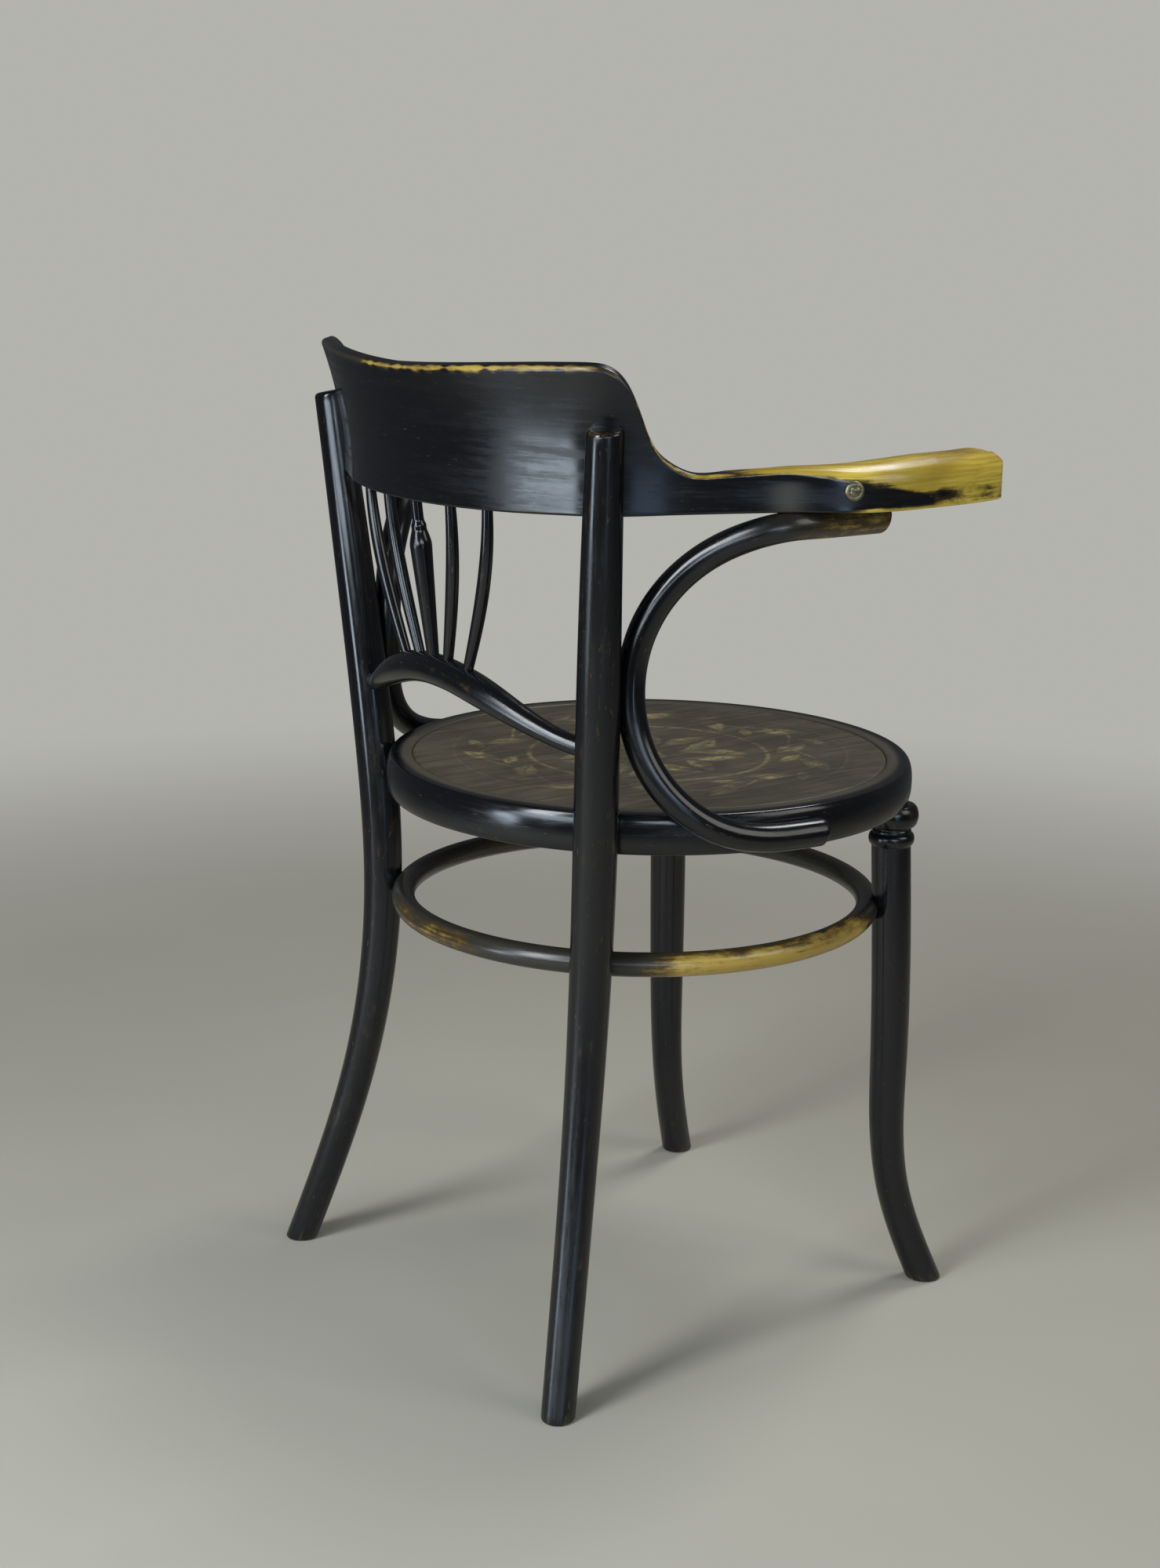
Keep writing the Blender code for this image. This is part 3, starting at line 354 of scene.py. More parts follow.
def front_axis(height):
    """The front leg's axis in plan: a spline of offsets, upright through the turned top."""
    out = ((0.0229, -0.0375), (0.0076, -0.0138), (0.0033, -0.0048), (0, 0))
    return FRONT_SEAT + natural_cubic(SHANK_KNOTS, out, np.minimum(height, BEAD_FOOT))


def swelling(height, foot, tall, extra):
    """A bead: extra radius times the root of one minus the squared distance from its middle."""
    share = np.clip((height - foot) / tall * 2 - 1, -1, 1)
    return extra * np.sqrt(1 - share ** 2)


def front_radius(height):
    """The front leg's radius: plain shank, plus bead and collar, less a thin groove for the neck."""
    plain = (0.0135, 0.0134, 0.0152, 0.0158)
    shank = natural_cubic(SHANK_KNOTS, plain, np.minimum(height, BEAD_FOOT))[:, 0]
    bead = swelling(height, BEAD_FOOT, BEAD_TALL, 0.0026)
    collar = swelling(height, COLLAR_FOOT, COLLAR_TALL, 0.0052)
    neck = 0.0008 * np.exp(-((height - COLLAR_FOOT + 0.001) / 0.0012) ** 2)
    return shank + bead + collar - neck


print("bead from", round(BEAD_FOOT, 4), "m, collar from", round(COLLAR_FOOT, 4), "m")

# %% [markdown]
# Rings lie closer together in the turned part, where the radius changes fast. The fat parts and the
# foot have lost a little more lacquer than the shank.

# %% Front legs
FOOT_ROUND = 0.0019
PLAIN_RINGS = 110
TURNED_RINGS = 64
turn = np.linspace(0, pi / 2, 5)
heights = np.concatenate([FOOT_ROUND * (1 - np.cos(turn)),
                          np.linspace(0.003, BEAD_FOOT - 0.001, PLAIN_RINGS),
                          np.linspace(BEAD_FOOT - 0.0005, RIM_BOTTOM - GAP, TURNED_RINGS)])
drawn = np.concatenate([FOOT_ROUND * (1 - np.sin(turn)), np.zeros(PLAIN_RINGS + TURNED_RINGS)])
radii = front_radius(heights)
rings, run = level_rod(front_axis(heights), radii - drawn, heights, LEG_SIDES)
turned_wear = 0.20 + 0.12 * smooth_step((radii - 0.0165) / 0.004)[:, None]
front_wear = np.maximum(turned_wear, 0.38 * smooth_step(1 - heights / 0.025)[:, None])
dust = floor_dust(heights)
front_left = skin("front_leg_left_post", rings, other_grain(run, 1.7), front_wear, matte=dust)
front_right = skin("front_leg_right_post", other_side(rings), other_grain(run, 5.3), front_wear, matte=dust)
front_legs = [dress(front_left, "ebonised", "front_leg_left"),
              dress(front_right, "ebonised", "front_leg_right")]

# %% [markdown]
# ## Leg ring
# The ring ties the four legs below the seat. Shoes have worn it through to gold on both sides, and
# its back to brown. A torus would do for its shape; rings are used so that wear and grain follow it.

# %% Leg ring's shape
RING_TUBE = 0.0093
RING_STEPS = 300
RING_SIDES = 32


def ring_circle():
    """Radius and centre of the ring, read from its frame node."""
    low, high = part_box("leg_ring")
    return (high[1] - low[1]) / 2 - RING_TUBE, (high[1] + low[1]) / 2 - SEAT_Y


ring_radius, ring_centre = ring_circle()
around = np.arange(RING_STEPS) * tau / RING_STEPS
turn = np.arange(RING_SIDES) * tau / RING_SIDES
across = ring_radius + RING_TUBE * np.cos(turn)[None]
rings = np.stack([across * np.cos(around)[:, None], ring_centre + across * np.sin(around)[:, None],
                  np.broadcast_to(RING_HEIGHT + RING_TUBE * np.sin(turn), (RING_STEPS, RING_SIDES))], axis=-1)
run = rod_run(around * ring_radius, np.full(RING_STEPS, RING_TUBE), turn)
print("leg ring of radius", round(float(ring_radius), 4), "m")

# %% [markdown]
# Each worn place is an arc with soft ends. It is deepest on the outside of the ring, where shoes rub.

# %% Leg ring
def worn_arc(angle, middle, half, fade):
    """1 within an arc, falling to 0 over a fade beyond its ends."""
    away = np.abs((angle - middle + pi) % tau - pi)
    return 1 - smooth_step((away - half) / fade)


right_side = worn_arc(around, radians(180), radians(23), radians(24))
left_side = worn_arc(around, radians(0), radians(23), radians(24))
back_side = worn_arc(around, radians(86), radians(12), radians(22))
outside = 0.70 + 0.30 * np.cos(turn + 0.5)[None]
ring_wear = np.maximum(np.maximum(right_side, 0.9 * left_side)[:, None] * outside * 0.92,
                       back_side[:, None] * outside * 0.56)
ring_wear = np.maximum(ring_wear, 0.18)
leg_ring = dress(skin("leg_ring_rod", rings, run, ring_wear, 0.35, looped=True), "ebonised", "leg_ring")

# %% [markdown]
# ## Seat rim
# The rim is a bent ring with a rounded side and a rebate for the panel; its flat top is dull from use.
# Its section is drawn once and carried round the seat's centre.

# %% Seat rim
PANEL_THICKNESS = 0.005
RIM_ROUND = 0.0055
RIM_STEPS = 320


def rim_outline():
    """The rim's section: a flattened half-oval outside, flat top, panel rebate and flat inside."""
    side = np.linspace(-pi / 2, pi / 2, 33)
    bulge = np.cos(side) ** 0.75
    rise = np.sign(np.sin(side)) * np.abs(np.sin(side)) ** 0.9
    outer_reach = SEAT_RADIUS - RIM_ROUND + RIM_ROUND * bulge
    outer = np.stack([outer_reach, RIM_MIDDLE + RIM_DEPTH / 2 * rise], axis=-1)
    top_reach = np.linspace(SEAT_RADIUS - 0.0062, PANEL_RADIUS + 0.0011, 8)
    top = np.stack([top_reach, np.full(8, SEAT_HEIGHT)], axis=-1)
    lip = PANEL_RADIUS + GAP
    ledge = SEAT_HEIGHT - PANEL_THICKNESS - GAP
    inner = SEAT_RADIUS - 0.045
    inside = np.array([(lip, SEAT_HEIGHT - 0.0008), (lip, ledge), (inner, ledge), (inner, RIM_BOTTOM + 0.001),
                       (inner + 0.001, RIM_BOTTOM)])
    under = np.stack([np.linspace(inner + 0.004, SEAT_RADIUS - 0.0062, 6), np.full(6, RIM_BOTTOM)], axis=-1)
    return np.vstack([outer, top, inside, under])


outline = rim_outline()
around = np.arange(RIM_STEPS) * tau / RIM_STEPS
reach, level = (np.broadcast_to(outline[:, i], (RIM_STEPS, len(outline))) for i in (0, 1))
rings = np.stack([reach * np.cos(around)[:, None], reach * np.sin(around)[:, None], level], axis=-1)
run = np.stack([np.broadcast_to(around[:, None] * SEAT_RADIUS, reach.shape), reach, level], axis=-1)
flat_top = smooth_step((SEAT_RADIUS - 0.0085 - outline[:, 0]) / 0.006) * (outline[:, 1] > SEAT_HEIGHT - 0.001)
rim_wear = (0.20 + 0.06 * flat_top)[None]
seat_rim = skin("seat_rim_ring", rings, run, rim_wear, flat_top[None], looped=True, crease=60)
dress(seat_rim, "ebonised", "seat_rim")

# %% [markdown]
# ## Seat panel
# The panel is thin plywood, pressed with a medallion of lines, leaves and petals. A picture could be
# mapped on it as bump, but the relief is real, so each leaf is a formula that gives a height.

# %% Pressed pattern
GARLAND_RADIUS = 0.129
ROSETTE_RADIUS = 0.054
REPEATS = 7


def line_at(distance, width):
    """A rounded raised line: 1 on it, falling to 0 at its half width."""
    return np.clip(1 - (distance / (width / 2)) ** 2, 0, 1)


def leaf(radius, angle, middle_radius, middle_angle, tilt, length, width):
    """A pointed leaf: an ellipse with its own tilt, with a groove for its vein."""
    swing = (angle - middle_angle + pi) % tau - pi
    east = swing * middle_radius
    north = radius - middle_radius
    along = (east * cos(tilt) + north * sin(tilt)) / length
    aside = (north * cos(tilt) - east * sin(tilt)) / width
    body = np.clip(1 - along ** 2 - (aside / np.maximum(1 - 0.75 * np.abs(along), 0.05)) ** 2, 0, 1) ** 0.5
    return body * (1 - 0.65 * np.clip(1 - np.abs(aside) / 0.16, 0, 1) * (np.abs(along) < 0.8))


def medallion(radius, angle):
    """The pressed pattern's height from 0 to 1: rings, a waved stem with leaves, and a petal rosette."""
    radius = radius + 0.0022 * np.sin(3 * angle + 0.8) * np.sin(70 * radius)
    rings_part = np.maximum(0.55 * line_at(radius - 0.097, 0.0062), 0.35 * line_at(radius - 0.160, 0.0034))
    garland = 0.6 * line_at(radius - GARLAND_RADIUS - 0.0095 * np.sin(REPEATS * angle), 0.0042)
    rosette = np.clip(1 - (radius / 0.014) ** 2, 0, 1) ** 0.5
    for k in range(REPEATS * 2):
        side = 1 if k % 2 else -1
        place = (k + 0.5) * pi / REPEATS
        inner, outer = GARLAND_RADIUS - side * 0.0085, GARLAND_RADIUS + side * 0.014
        broad = leaf(radius, angle, inner, place, side * 0.75, 0.0240, 0.0115)
        slim = 0.9 * leaf(radius, angle, outer, place + 0.13, -side * 0.55, 0.0170, 0.0075)
        petal = leaf(radius, angle, ROSETTE_RADIUS, place, pi / 2 + side * 0.35, 0.0280, 0.0105)
        garland = np.maximum(garland, np.maximum(broad, slim))
        rosette = np.maximum(rosette, petal)
    return np.clip(np.maximum.reduce([rings_part, garland, rosette]), 0, 1)


print("pattern of", REPEATS * 2, "leaves and petals")

# %% [markdown]
# The pattern's height goes on top of a shallow dish. Rings run from the middle of the top out to the
# edge, down the side and back under to the middle, so the disc is closed.

# %% Seat panel
PANEL_STEPS = 480
PANEL_EDGE = 0.0030
RELIEF_HEIGHT = 0.00075
DISH_DEPTH = 0.003
DISH_RADIUS = 0.172
edge_reach = PANEL_RADIUS - np.array([0.0022, 0.0015, 0.0008, 0.0003])
reach = np.concatenate([np.linspace(0.0012, PANEL_RADIUS - PANEL_EDGE, 150), edge_reach])
around = np.arange(PANEL_STEPS) * tau / PANEL_STEPS
radius_grid = np.broadcast_to(reach[:, None], (len(reach), PANEL_STEPS))
angle_grid = np.broadcast_to(around[None], radius_grid.shape)
relief = medallion(radius_grid, angle_grid)
dish = DISH_DEPTH * np.cos(np.clip(radius_grid / DISH_RADIUS, 0, 1) * pi / 2) ** 2
edge_fall = 0.0009 * smooth_step((radius_grid - PANEL_RADIUS + PANEL_EDGE) / PANEL_EDGE) ** 2
top = SEAT_HEIGHT - 0.0004 - dish - edge_fall + RELIEF_HEIGHT * relief
under_reach = np.array([PANEL_RADIUS, PANEL_RADIUS, DISH_RADIUS, 0.09, 0.002])[:, None]
under_height = SEAT_HEIGHT - np.array([0.0018, PANEL_THICKNESS, PANEL_THICKNESS, 0.0065, 0.008])[:, None]
upper = np.stack([radius_grid * np.cos(angle_grid), radius_grid * np.sin(angle_grid), top], axis=-1)
lower = np.stack([under_reach * np.cos(around), under_reach * np.sin(around),
                  np.broadcast_to(under_height, (len(under_height), PANEL_STEPS))], axis=-1)
rings = np.concatenate([upper, lower])
raised = np.concatenate([relief, np.zeros((len(under_height), PANEL_STEPS))])
seat_panel = skin("seat_panel_disc", rings, rings.copy(), raised, 1.0, crease=70)
dress(seat_panel, "seat_ply", "seat_panel")

# %% [markdown]
# ## Crest rail and arms
# One board, bent on edge, is the crest across the back and both arms. The crest leans outward more
# and more towards its top, drops beside each leg in an S, and runs forward as the arm. A thick pad is
# glued inside each arm, and the two together are shaped into one rounded armrest. The board's outer
# bottom edge is a spline in plan, and everything else is measured from it.

# %% Board path
CREST_TURN = radians(40)
ARM_HALF_WIDTH = 0.2791
ARM_ELBOW_Y = 0.0265
ARM_REACH = 0.1525
CREST_BOW = 0.0497
TIP_ROUND = 0.012
HALF_STEP = 1e-4


def board_plan():
    """Plan points of the board's outer bottom edge from the middle of the back to the arm's tip."""
    normal = polar(1.0, CREST_TURN)
    contact = rear_axis(BOARD_BOTTOM)[0] - normal * (rear_radius(BOARD_BOTTOM)[0] - 0.010)
    bow_radius = (contact[0] ** 2 + CREST_BOW ** 2) / (2 * CREST_BOW)
    x = contact[0] * np.array([0.0, 0.3, 0.6, 0.86])
    arc = np.stack([x, contact[1] + CREST_BOW - bow_radius + np.sqrt(bow_radius ** 2 - x ** 2)], axis=-1)
    flank = contact + (0.0493, -0.0747)
    elbow = np.array([ARM_HALF_WIDTH - 0.003, ARM_ELBOW_Y])
    sweep = 0.46 * flank + 0.54 * elbow + (0.0016, 0.0)
    front = [elbow] + [(ARM_HALF_WIDTH - inward, ARM_ELBOW_Y - share * ARM_REACH)
                       for inward, share in ((0.0004, 0.40), (0.0075, 0.77), (0.0179, 1.0))]
    return np.vstack([arc, [contact, contact + (0.0209, -0.0340), flank, sweep], front]), len(arc)


def board_stations(count):
    """Plan points, outward normals and lengths past the leg, from the right tip to the left tip."""
    half, contact_index = board_plan()
    whole = np.vstack([half[:0:-1] * (-1, 1), half])
    chords = chord_lengths(whole)
    middle = chords[-1] / 2
    turn = np.linspace(0, pi / 2, 14)
    tip = middle - TIP_ROUND * (1 - np.sin(turn))
    side = np.concatenate([np.linspace(0, tip[0], count)[:-1], tip])
    along = np.concatenate([-side[:0:-1], side])
    points = natural_cubic(chords, whole, middle + along)
    after = natural_cubic(chords, whole, middle + along + HALF_STEP)
    heading = after - natural_cubic(chords, whole, middle + along - HALF_STEP)
    heading /= np.linalg.norm(heading, axis=1)[:, None]
    normals = np.stack([-heading[:, 1], heading[:, 0]], axis=-1)
    contact_length = chords[len(half) - 1 + contact_index] - middle
    corner = TIP_ROUND * (1 - np.cos(np.arcsin(np.clip((np.abs(along) - tip[0]) / TIP_ROUND, 0, 1))))
    return points, normals, along, np.abs(along) - contact_length, contact_length, corner


board_points, board_normals, board_along, past_leg, contact_length, tip_corner = board_stations(250)
print("board of", round(board_along[-1] * 2, 3), "m, legs at", round(contact_length, 4), "m from its middle")

# %% [markdown]
# Along its length the board is wide at the crest and narrow at the arms. The S between them is a
# spline of how much of the drop is done at nine places past the leg. The crest is a little wider
# towards the legs, as on the real chair.

# %% Board levels
CREST_WIDTH = 0.099
CREST_END_RISE = 0.0045
ARM_WIDTH = 0.049
ARM_RISE_LENGTH = 0.150
DROP_PLACES = (-0.016, -0.007, 0.011, 0.0217, 0.0307, 0.0451, 0.0595, 0.074, 0.085)
DROP_SHARES = (0.0, 0.004, 0.11, 0.35, 0.64, 0.88, 0.98, 1.0, 1.0)


def board_levels(past):
    """Bottom, outer top, arm width and dome rise at lengths past the leg."""
    sag = 0.004 * np.clip(1 - ((past + contact_length) / contact_length) ** 2, 0, None)
    bottom = BOARD_BOTTOM - sag + ARM_RISE * smooth_step(past / ARM_RISE_LENGTH)
    within = np.clip(past, DROP_PLACES[0], DROP_PLACES[-1])
    drop = np.clip(natural_cubic(DROP_PLACES, DROP_SHARES, within)[:, 0], 0, 1)
    crown = 0.0273 + 0.0085 * np.clip((past - 0.064) / 0.190, 0, 1)
    side = crown + (0.021 - crown) * smooth_step((past - 0.120) / 0.070)
    crest = CREST_WIDTH + CREST_END_RISE * smooth_step((past + 0.21) / 0.18)
    top = bottom + crest + (side - crest) * drop
    width = BOARD_THICKNESS + (ARM_WIDTH - BOARD_THICKNESS) * smooth_step((past - 0.075) / 0.120)
    return bottom, top, width, crown - side


bottom, top, width, rise = (value[:, None] for value in board_levels(past_leg))
tall = top - bottom
print("board", tall.max().round(4), "m wide at the crest,", tall.min().round(4), "m at the arms")

# %% [markdown]
# Across its length the board is a box with rounded edges. The crest leans outward by the square of the
# height, and the armrest's top is half an oval. These helpers give the section and put it in place.

# %% Board section
CREST_FLARE = 0.0170


def rounded_box(width, height, radii, counts):
    """A box outline with rounded corners: four quarter circles joined by straight runs."""
    quarter = np.linspace(0, pi / 2, counts[0])
    centres = ((width - radii[0], radii[0]), (width - radii[1], height - radii[1]),
               (radii[2], height - radii[2]), (radii[3], radii[3]))
    starts = (-pi / 2, 0.0, pi / 2, pi)
    arcs = [np.stack([c[0] + r * np.cos(quarter + s), c[1] + r * np.sin(quarter + s)], axis=-1)
            for c, r, s in zip(centres, radii, starts)]
    ways = []
    for i in range(4):
        straight = np.linspace(0, 1, counts[1 + i % 2] + 2)[1:-1, None]
        ways += [arcs[i], arcs[i][-1] + (arcs[(i + 1) % 4][0] - arcs[i][-1]) * straight]
    return np.vstack(ways)


def flare(height, bottom):
    """Outward lean of the crest: the flare times the squared share of its width, and that slope's angle."""
    share = (height - bottom) / CREST_WIDTH
    return CREST_FLARE * share ** 2, np.arctan(2 * CREST_FLARE * share / CREST_WIDTH)


def dome(inset, width, rise):
    """Rounded armrest top: rise times the root of one minus the squared distance from mid-width."""
    share = np.clip(inset / (width / 2) - 1, -1, 1)
    return rise * np.sqrt(1 - share ** 2)


def stood_up(inset, height):
    """Put (inset, height) grids on the board's stations in space."""
    plan = board_points[:, None] - board_normals[:, None] * inset[:, :, None]
    return np.concatenate([plan, height[:, :, None]], axis=2)


def tip_ease(corner, upward):
    """Height change at the arm's tip: 0.45 of the corner up at the bottom, as much down at the top."""
    return corner * (0.45 - 0.90 * upward)


LOW_ROUND = 0.0020
TOP_ROUND = 0.0034
section = rounded_box(BOARD_THICKNESS, CREST_WIDTH, (LOW_ROUND, TOP_ROUND, TOP_ROUND, LOW_ROUND), (8, 36, 5))
print("board section of", len(section), "points")

# %% [markdown]
# The section is stretched to the board's width at each station, but its rounded edges are not: only
# the part between them is. Where the pad is glued on, the inner top edge loses its rounding.

# %% Board
EDGE_KEPT = 0.0045
inset_share = section[None, :, 0]
section_height = section[None, :, 1]
edge_low = np.minimum(section_height, EDGE_KEPT)
glued = smooth_step((past_leg[:, None] - 0.060) / 0.025) * (inset_share > BOARD_THICKNESS / 2)
edge_high = np.minimum(CREST_WIDTH - section_height, EDGE_KEPT)
edge_high = np.where(edge_high < TOP_ROUND, edge_high * (1 - glued), edge_high)
middle_share = np.clip((section_height - EDGE_KEPT) / (CREST_WIDTH - 2 * EDGE_KEPT), 0, 1)
level = bottom + edge_low + middle_share * (tall - 2 * EDGE_KEPT) + (EDGE_KEPT - edge_high)
lean, slope = flare(level, bottom)
upward = (level - bottom) / tall
inset = inset_share * np.cos(slope) - lean
domed = dome(inset_share, width, rise) * smooth_step(upward * 2 - 1)
height = level + inset_share * np.sin(slope) * upward + domed
corner = tip_corner[:, None]
inset = np.where(corner > 0, np.clip(inset, corner * 0.8, None), inset)
height = height + tip_ease(corner, upward)
rings = stood_up(inset, height)
run = np.stack([np.broadcast_to(board_along[:, None], inset.shape), height, inset_share + 0 * inset], axis=-1)
print("board grid of", rings.shape[0], "by", rings.shape[1], "points")

# %% [markdown]
# Hands have rubbed the crest's top edge to gold in a ragged line, with fainter scuffs below it. Sine
# waves of unlike lengths make the line ragged, so that it is the same in every run.

# %% Crest wear
past = past_leg[:, None]
x = rings[:, :, 0]
is_crest = 1 - smooth_step((past + 0.01) / 0.05)
rubbed = smooth_step((x + 0.215) / 0.05) * (1 - smooth_step((x - 0.02) / 0.05))
from_edge = np.hypot(inset_share, 0.9 * (top - level))
waves = np.sin(230 * board_along) * np.sin(91 * board_along + 0.7) + 0.5 * np.sin(517 * board_along)
edge_depth = 0.0026 + is_crest * rubbed * 0.0015 * waves[:, None]
edge_wear = 1 - smooth_step((from_edge - 0.0012) / edge_depth)
near_top = smooth_step((upward - 0.70) / 0.30)
far_end = smooth_step((x - 0.08) / 0.04)
crest_scuffs = np.exp(-((x + 0.10) / 0.055) ** 2) * smooth_step((upward - 0.55) / 0.25)
crest_wear = (0.48 + 0.10 * rubbed - 0.22 * far_end) * edge_wear
crest_wear = is_crest * (crest_wear + 0.15 * near_top * rubbed + 0.11 * crest_scuffs)
drop_wear = (1 - is_crest) * (1 - smooth_step((past - 0.08) / 0.03)) * edge_wear * 0.76
print("crest wear up to", round(float(crest_wear.max()), 2))

# %% [markdown]
# The arms are worn most at the front and on top, and along the lower edge. A smear of lacquer is left
# on the outer face behind the tip.

# %% Arm wear
to_front = smooth_step((past - 0.150) / 0.070)
upper_face = smooth_step((upward - 0.62 + 0.95 * smooth_step((past - 0.190) / 0.095)) / 0.36)
smear_span = smooth_step((past - 0.185) / 0.03) * (1 - smooth_step((past - 0.250) / 0.03))
smear = np.exp(-((upward - 0.42) / 0.20) ** 2) * smear_span
under_edge = smooth_step((0.25 - upward) / 0.20) * smooth_step((past - 0.150) / 0.04)
arm_top = smooth_step((past - 0.055) / 0.07) * smooth_step((upward - 0.80) / 0.18)
arm_front = to_front * upper_face * (0.70 + 0.30 * upward) - 0.42 * smear
arm_wear = np.maximum(np.maximum(arm_front, 0.92 * under_edge), arm_top * 0.95)
board_wear = np.maximum(np.maximum(crest_wear, drop_wear), arm_wear)
board_wear = np.maximum(board_wear, 0.17 + 0.06 * near_top)
print("arm wear up to", round(float(arm_wear.max()), 2))

# %% [markdown]
# Gloss differs along the board too. The rubbed edge is dull. On the right arm a painted reflection, a
# band of lighter grey-brown colour with a rougher finish, stands in for a gleam, and a rougher finish on
# part of the crest and below each drop softens the edges of the reflections.

# %% Crest and arm board
on_right = (board_along < 0)[:, None]
# Painted reflection: a band of lighter grey-brown colour and rougher finish on the right arm's outer face,
# standing in for a gleam.
painted_gleam_band = 0.50 * np.exp(-((past - 0.128) / 0.012) ** 2) * smooth_step((0.8 - upward) / 0.2) * on_right
board_dull_and_painted_gleam = np.maximum(painted_gleam_band, 0.30 * is_crest * edge_wear)
crest_patch = is_crest * np.exp(-((x + 0.105) / 0.030) ** 2)
below_drop = np.exp(-((past - 0.035) / 0.030) ** 2)
board_matte = 1.1 * np.maximum(crest_patch, below_drop)
board = skin("crest_and_arm_board", rings, run, board_wear, board_dull_and_painted_gleam, board_matte)
dress(board, "ebonised", "crest_and_arm_rail")

# %% [markdown]
# ## Arm pads
# The pad's section starts at the glue line, follows the dome over the top, rounds the inner edges and
# comes back along the flat underside. It is worked out for all stations of the left arm at once.

# %% Arm pad section
PAD_START = 0.083
PAD_ROUND = 0.006
pad_index = np.flatnonzero((board_points[:, 0] > 0) & (past_leg > PAD_START))
pad_width = width[pad_index]
pad_rise = rise[pad_index]
pad_side = tall[pad_index]
face = BOARD_THICKNESS + GAP
reach = pad_width - face
ease = np.minimum(PAD_ROUND, reach * 0.4)
top_ease = ease * 0.35
quarter = np.linspace(0, pi / 2, 9)[None]
over = face + (reach - top_ease) * np.linspace(0, 1, 24)[None]
over_height = pad_side + dome(over, pad_width, pad_rise)
shoulder = over_height[:, -1:]
round_in = face + reach - top_ease + top_ease * np.sin(quarter[:, 1:])
round_down = shoulder - np.minimum(ease * 0.8, shoulder * 0.4) * (1 - np.cos(quarter[:, 1:]))
under_in = face + reach - ease * (1 - np.cos(quarter))
under_height = ease * (1 - np.sin(quarter))
back_in = face + (reach - ease) * (1 - np.linspace(0, 1, 10)[None, 1:])
back_height = np.zeros((len(pad_index), 9))
up_in = np.full((len(pad_index), 8), face)
up_share = np.linspace(0, 1, 10)[None, 1:-1]
up_height = pad_side * up_share + dome(face, pad_width, pad_rise) * up_share
pad_inset = np.concatenate([over, round_in, under_in, back_in, up_in], axis=1)
pad_height = np.concatenate([over_height, round_down, under_height, back_height, up_height], axis=1)
print("pad grid of", pad_inset.shape[0], "by", pad_inset.shape[1], "points")

# %% [markdown]
# The pad's tip is rounded as the board's is. Its top is worn to gold nearly all along, and its front
# on every side.

# %% Arm pads
pad_corner = tip_corner[pad_index][:, None]
pad_upward = pad_height / (pad_side + pad_rise)
pad_inset = np.where(pad_corner > 0, np.clip(pad_inset, None, ARM_WIDTH - pad_corner), pad_inset)
pad_level = bottom[pad_index] + pad_height + tip_ease(pad_corner, pad_upward)
plan = board_points[pad_index][:, None] - board_normals[pad_index][:, None] * pad_inset[:, :, None]
rings = np.concatenate([plan, pad_level[:, :, None]], axis=2)
pad_along = np.broadcast_to(board_along[pad_index][:, None], pad_inset.shape)
run = np.stack([pad_along, pad_level, pad_inset], axis=-1)
pad_past = past_leg[pad_index][:, None]
pad_top = smooth_step((pad_upward - 0.55) / 0.35)
pad_wear = np.maximum(smooth_step((pad_past - 0.06) / 0.06) * pad_top * 0.95,
                      smooth_step((pad_past - 0.165) / 0.10) * (0.62 + 0.38 * pad_top))
pad_wear = np.maximum(pad_wear, 0.2)
pad_left = skin("arm_pad_left_block", rings, run, pad_wear)
pad_right = skin("arm_pad_right_block", other_side(rings), other_grain(run, 2.0), pad_wear)
pads = [dress(pad_left, "ebonised", "arm_pad_left"), dress(pad_right, "ebonised", "arm_pad_right")]

# %% [markdown]
# ## Arm supports
# Each support is one bent rod. It lies along the rim, sweeps up past the rear leg, touches it, and
# swings forward under the arm. Where it meets the arm it is planed flat, and its ends are bevelled.

# %% Support path
SUPPORT_RADIUS = 0.0106
SUPPORT_LEG_HEIGHT = 0.526
SUPPORT_ALONG_ARM = 0.0897
SUPPORT_SIDES = 36


def support_path(count):
    """The support's axis: rim, rear leg and arm points joined by a spline."""
    low = RIM_MIDDLE - 0.0018
    high = ARM_BOTTOM - SUPPORT_RADIUS + 0.0005
    orbit = SEAT_RADIUS + SUPPORT_RADIUS - 0.001
    climb = SUPPORT_LEG_HEIGHT - low
    reach = rear_radius(SUPPORT_LEG_HEIGHT)[0] + SUPPORT_RADIUS - 0.0005
    waist = np.array([*(rear_axis(SUPPORT_LEG_HEIGHT)[0] + polar(reach, radians(-80))), SUPPORT_LEG_HEIGHT])
    rim = [(*polar(orbit, angle), low) for angle in np.linspace(radians(0.5), radians(12), 4)]
    leaving = [(*polar(orbit + 0.0053, radians(26.1)), low + 0.13 * climb),
               (*polar(orbit + 0.0043, radians(36.9)), low + 0.53 * climb)]
    arm = [np.array([ARM_HALF_WIDTH - 0.0355, ARM_ELBOW_Y + 0.040 - share * SUPPORT_ALONG_ARM, high])
           for share in (0.0, 0.33, 0.65, 1.0)]
    rising = [np.array([*(waist + (arm[0] - waist) * across)[:2],
                        SUPPORT_LEG_HEIGHT + (high - SUPPORT_LEG_HEIGHT) * upward])
              for across, upward in ((0.081, 0.440), (0.562, 0.872))]
    return through(rim + leaving + [waist] + rising + arm, count)


path = support_path(220)
length = chord_lengths(path)
to_tip = length[-1] - length
print("support rod of", round(float(length[-1]), 3), "m")

# %% [markdown]
# Both ends are bevelled by pushing their lower points back along the rod, and points above the arm's
# underside are brought down to it, which planes the rod flat there.

# %% Arm supports
def rounded_end(distance, over):
    """Share of the radius near an end: the root of one minus the squared share that is left of it."""
    return np.sqrt(1 - np.clip(1 - distance / over, 0, 1) ** 2)


def below(level):
    """How far each point lies below a level, from 0 to 1 over the rod's thickness."""
    return np.clip((level - rings[:, :, 2]) / (2 * SUPPORT_RADIUS), 0, 1)


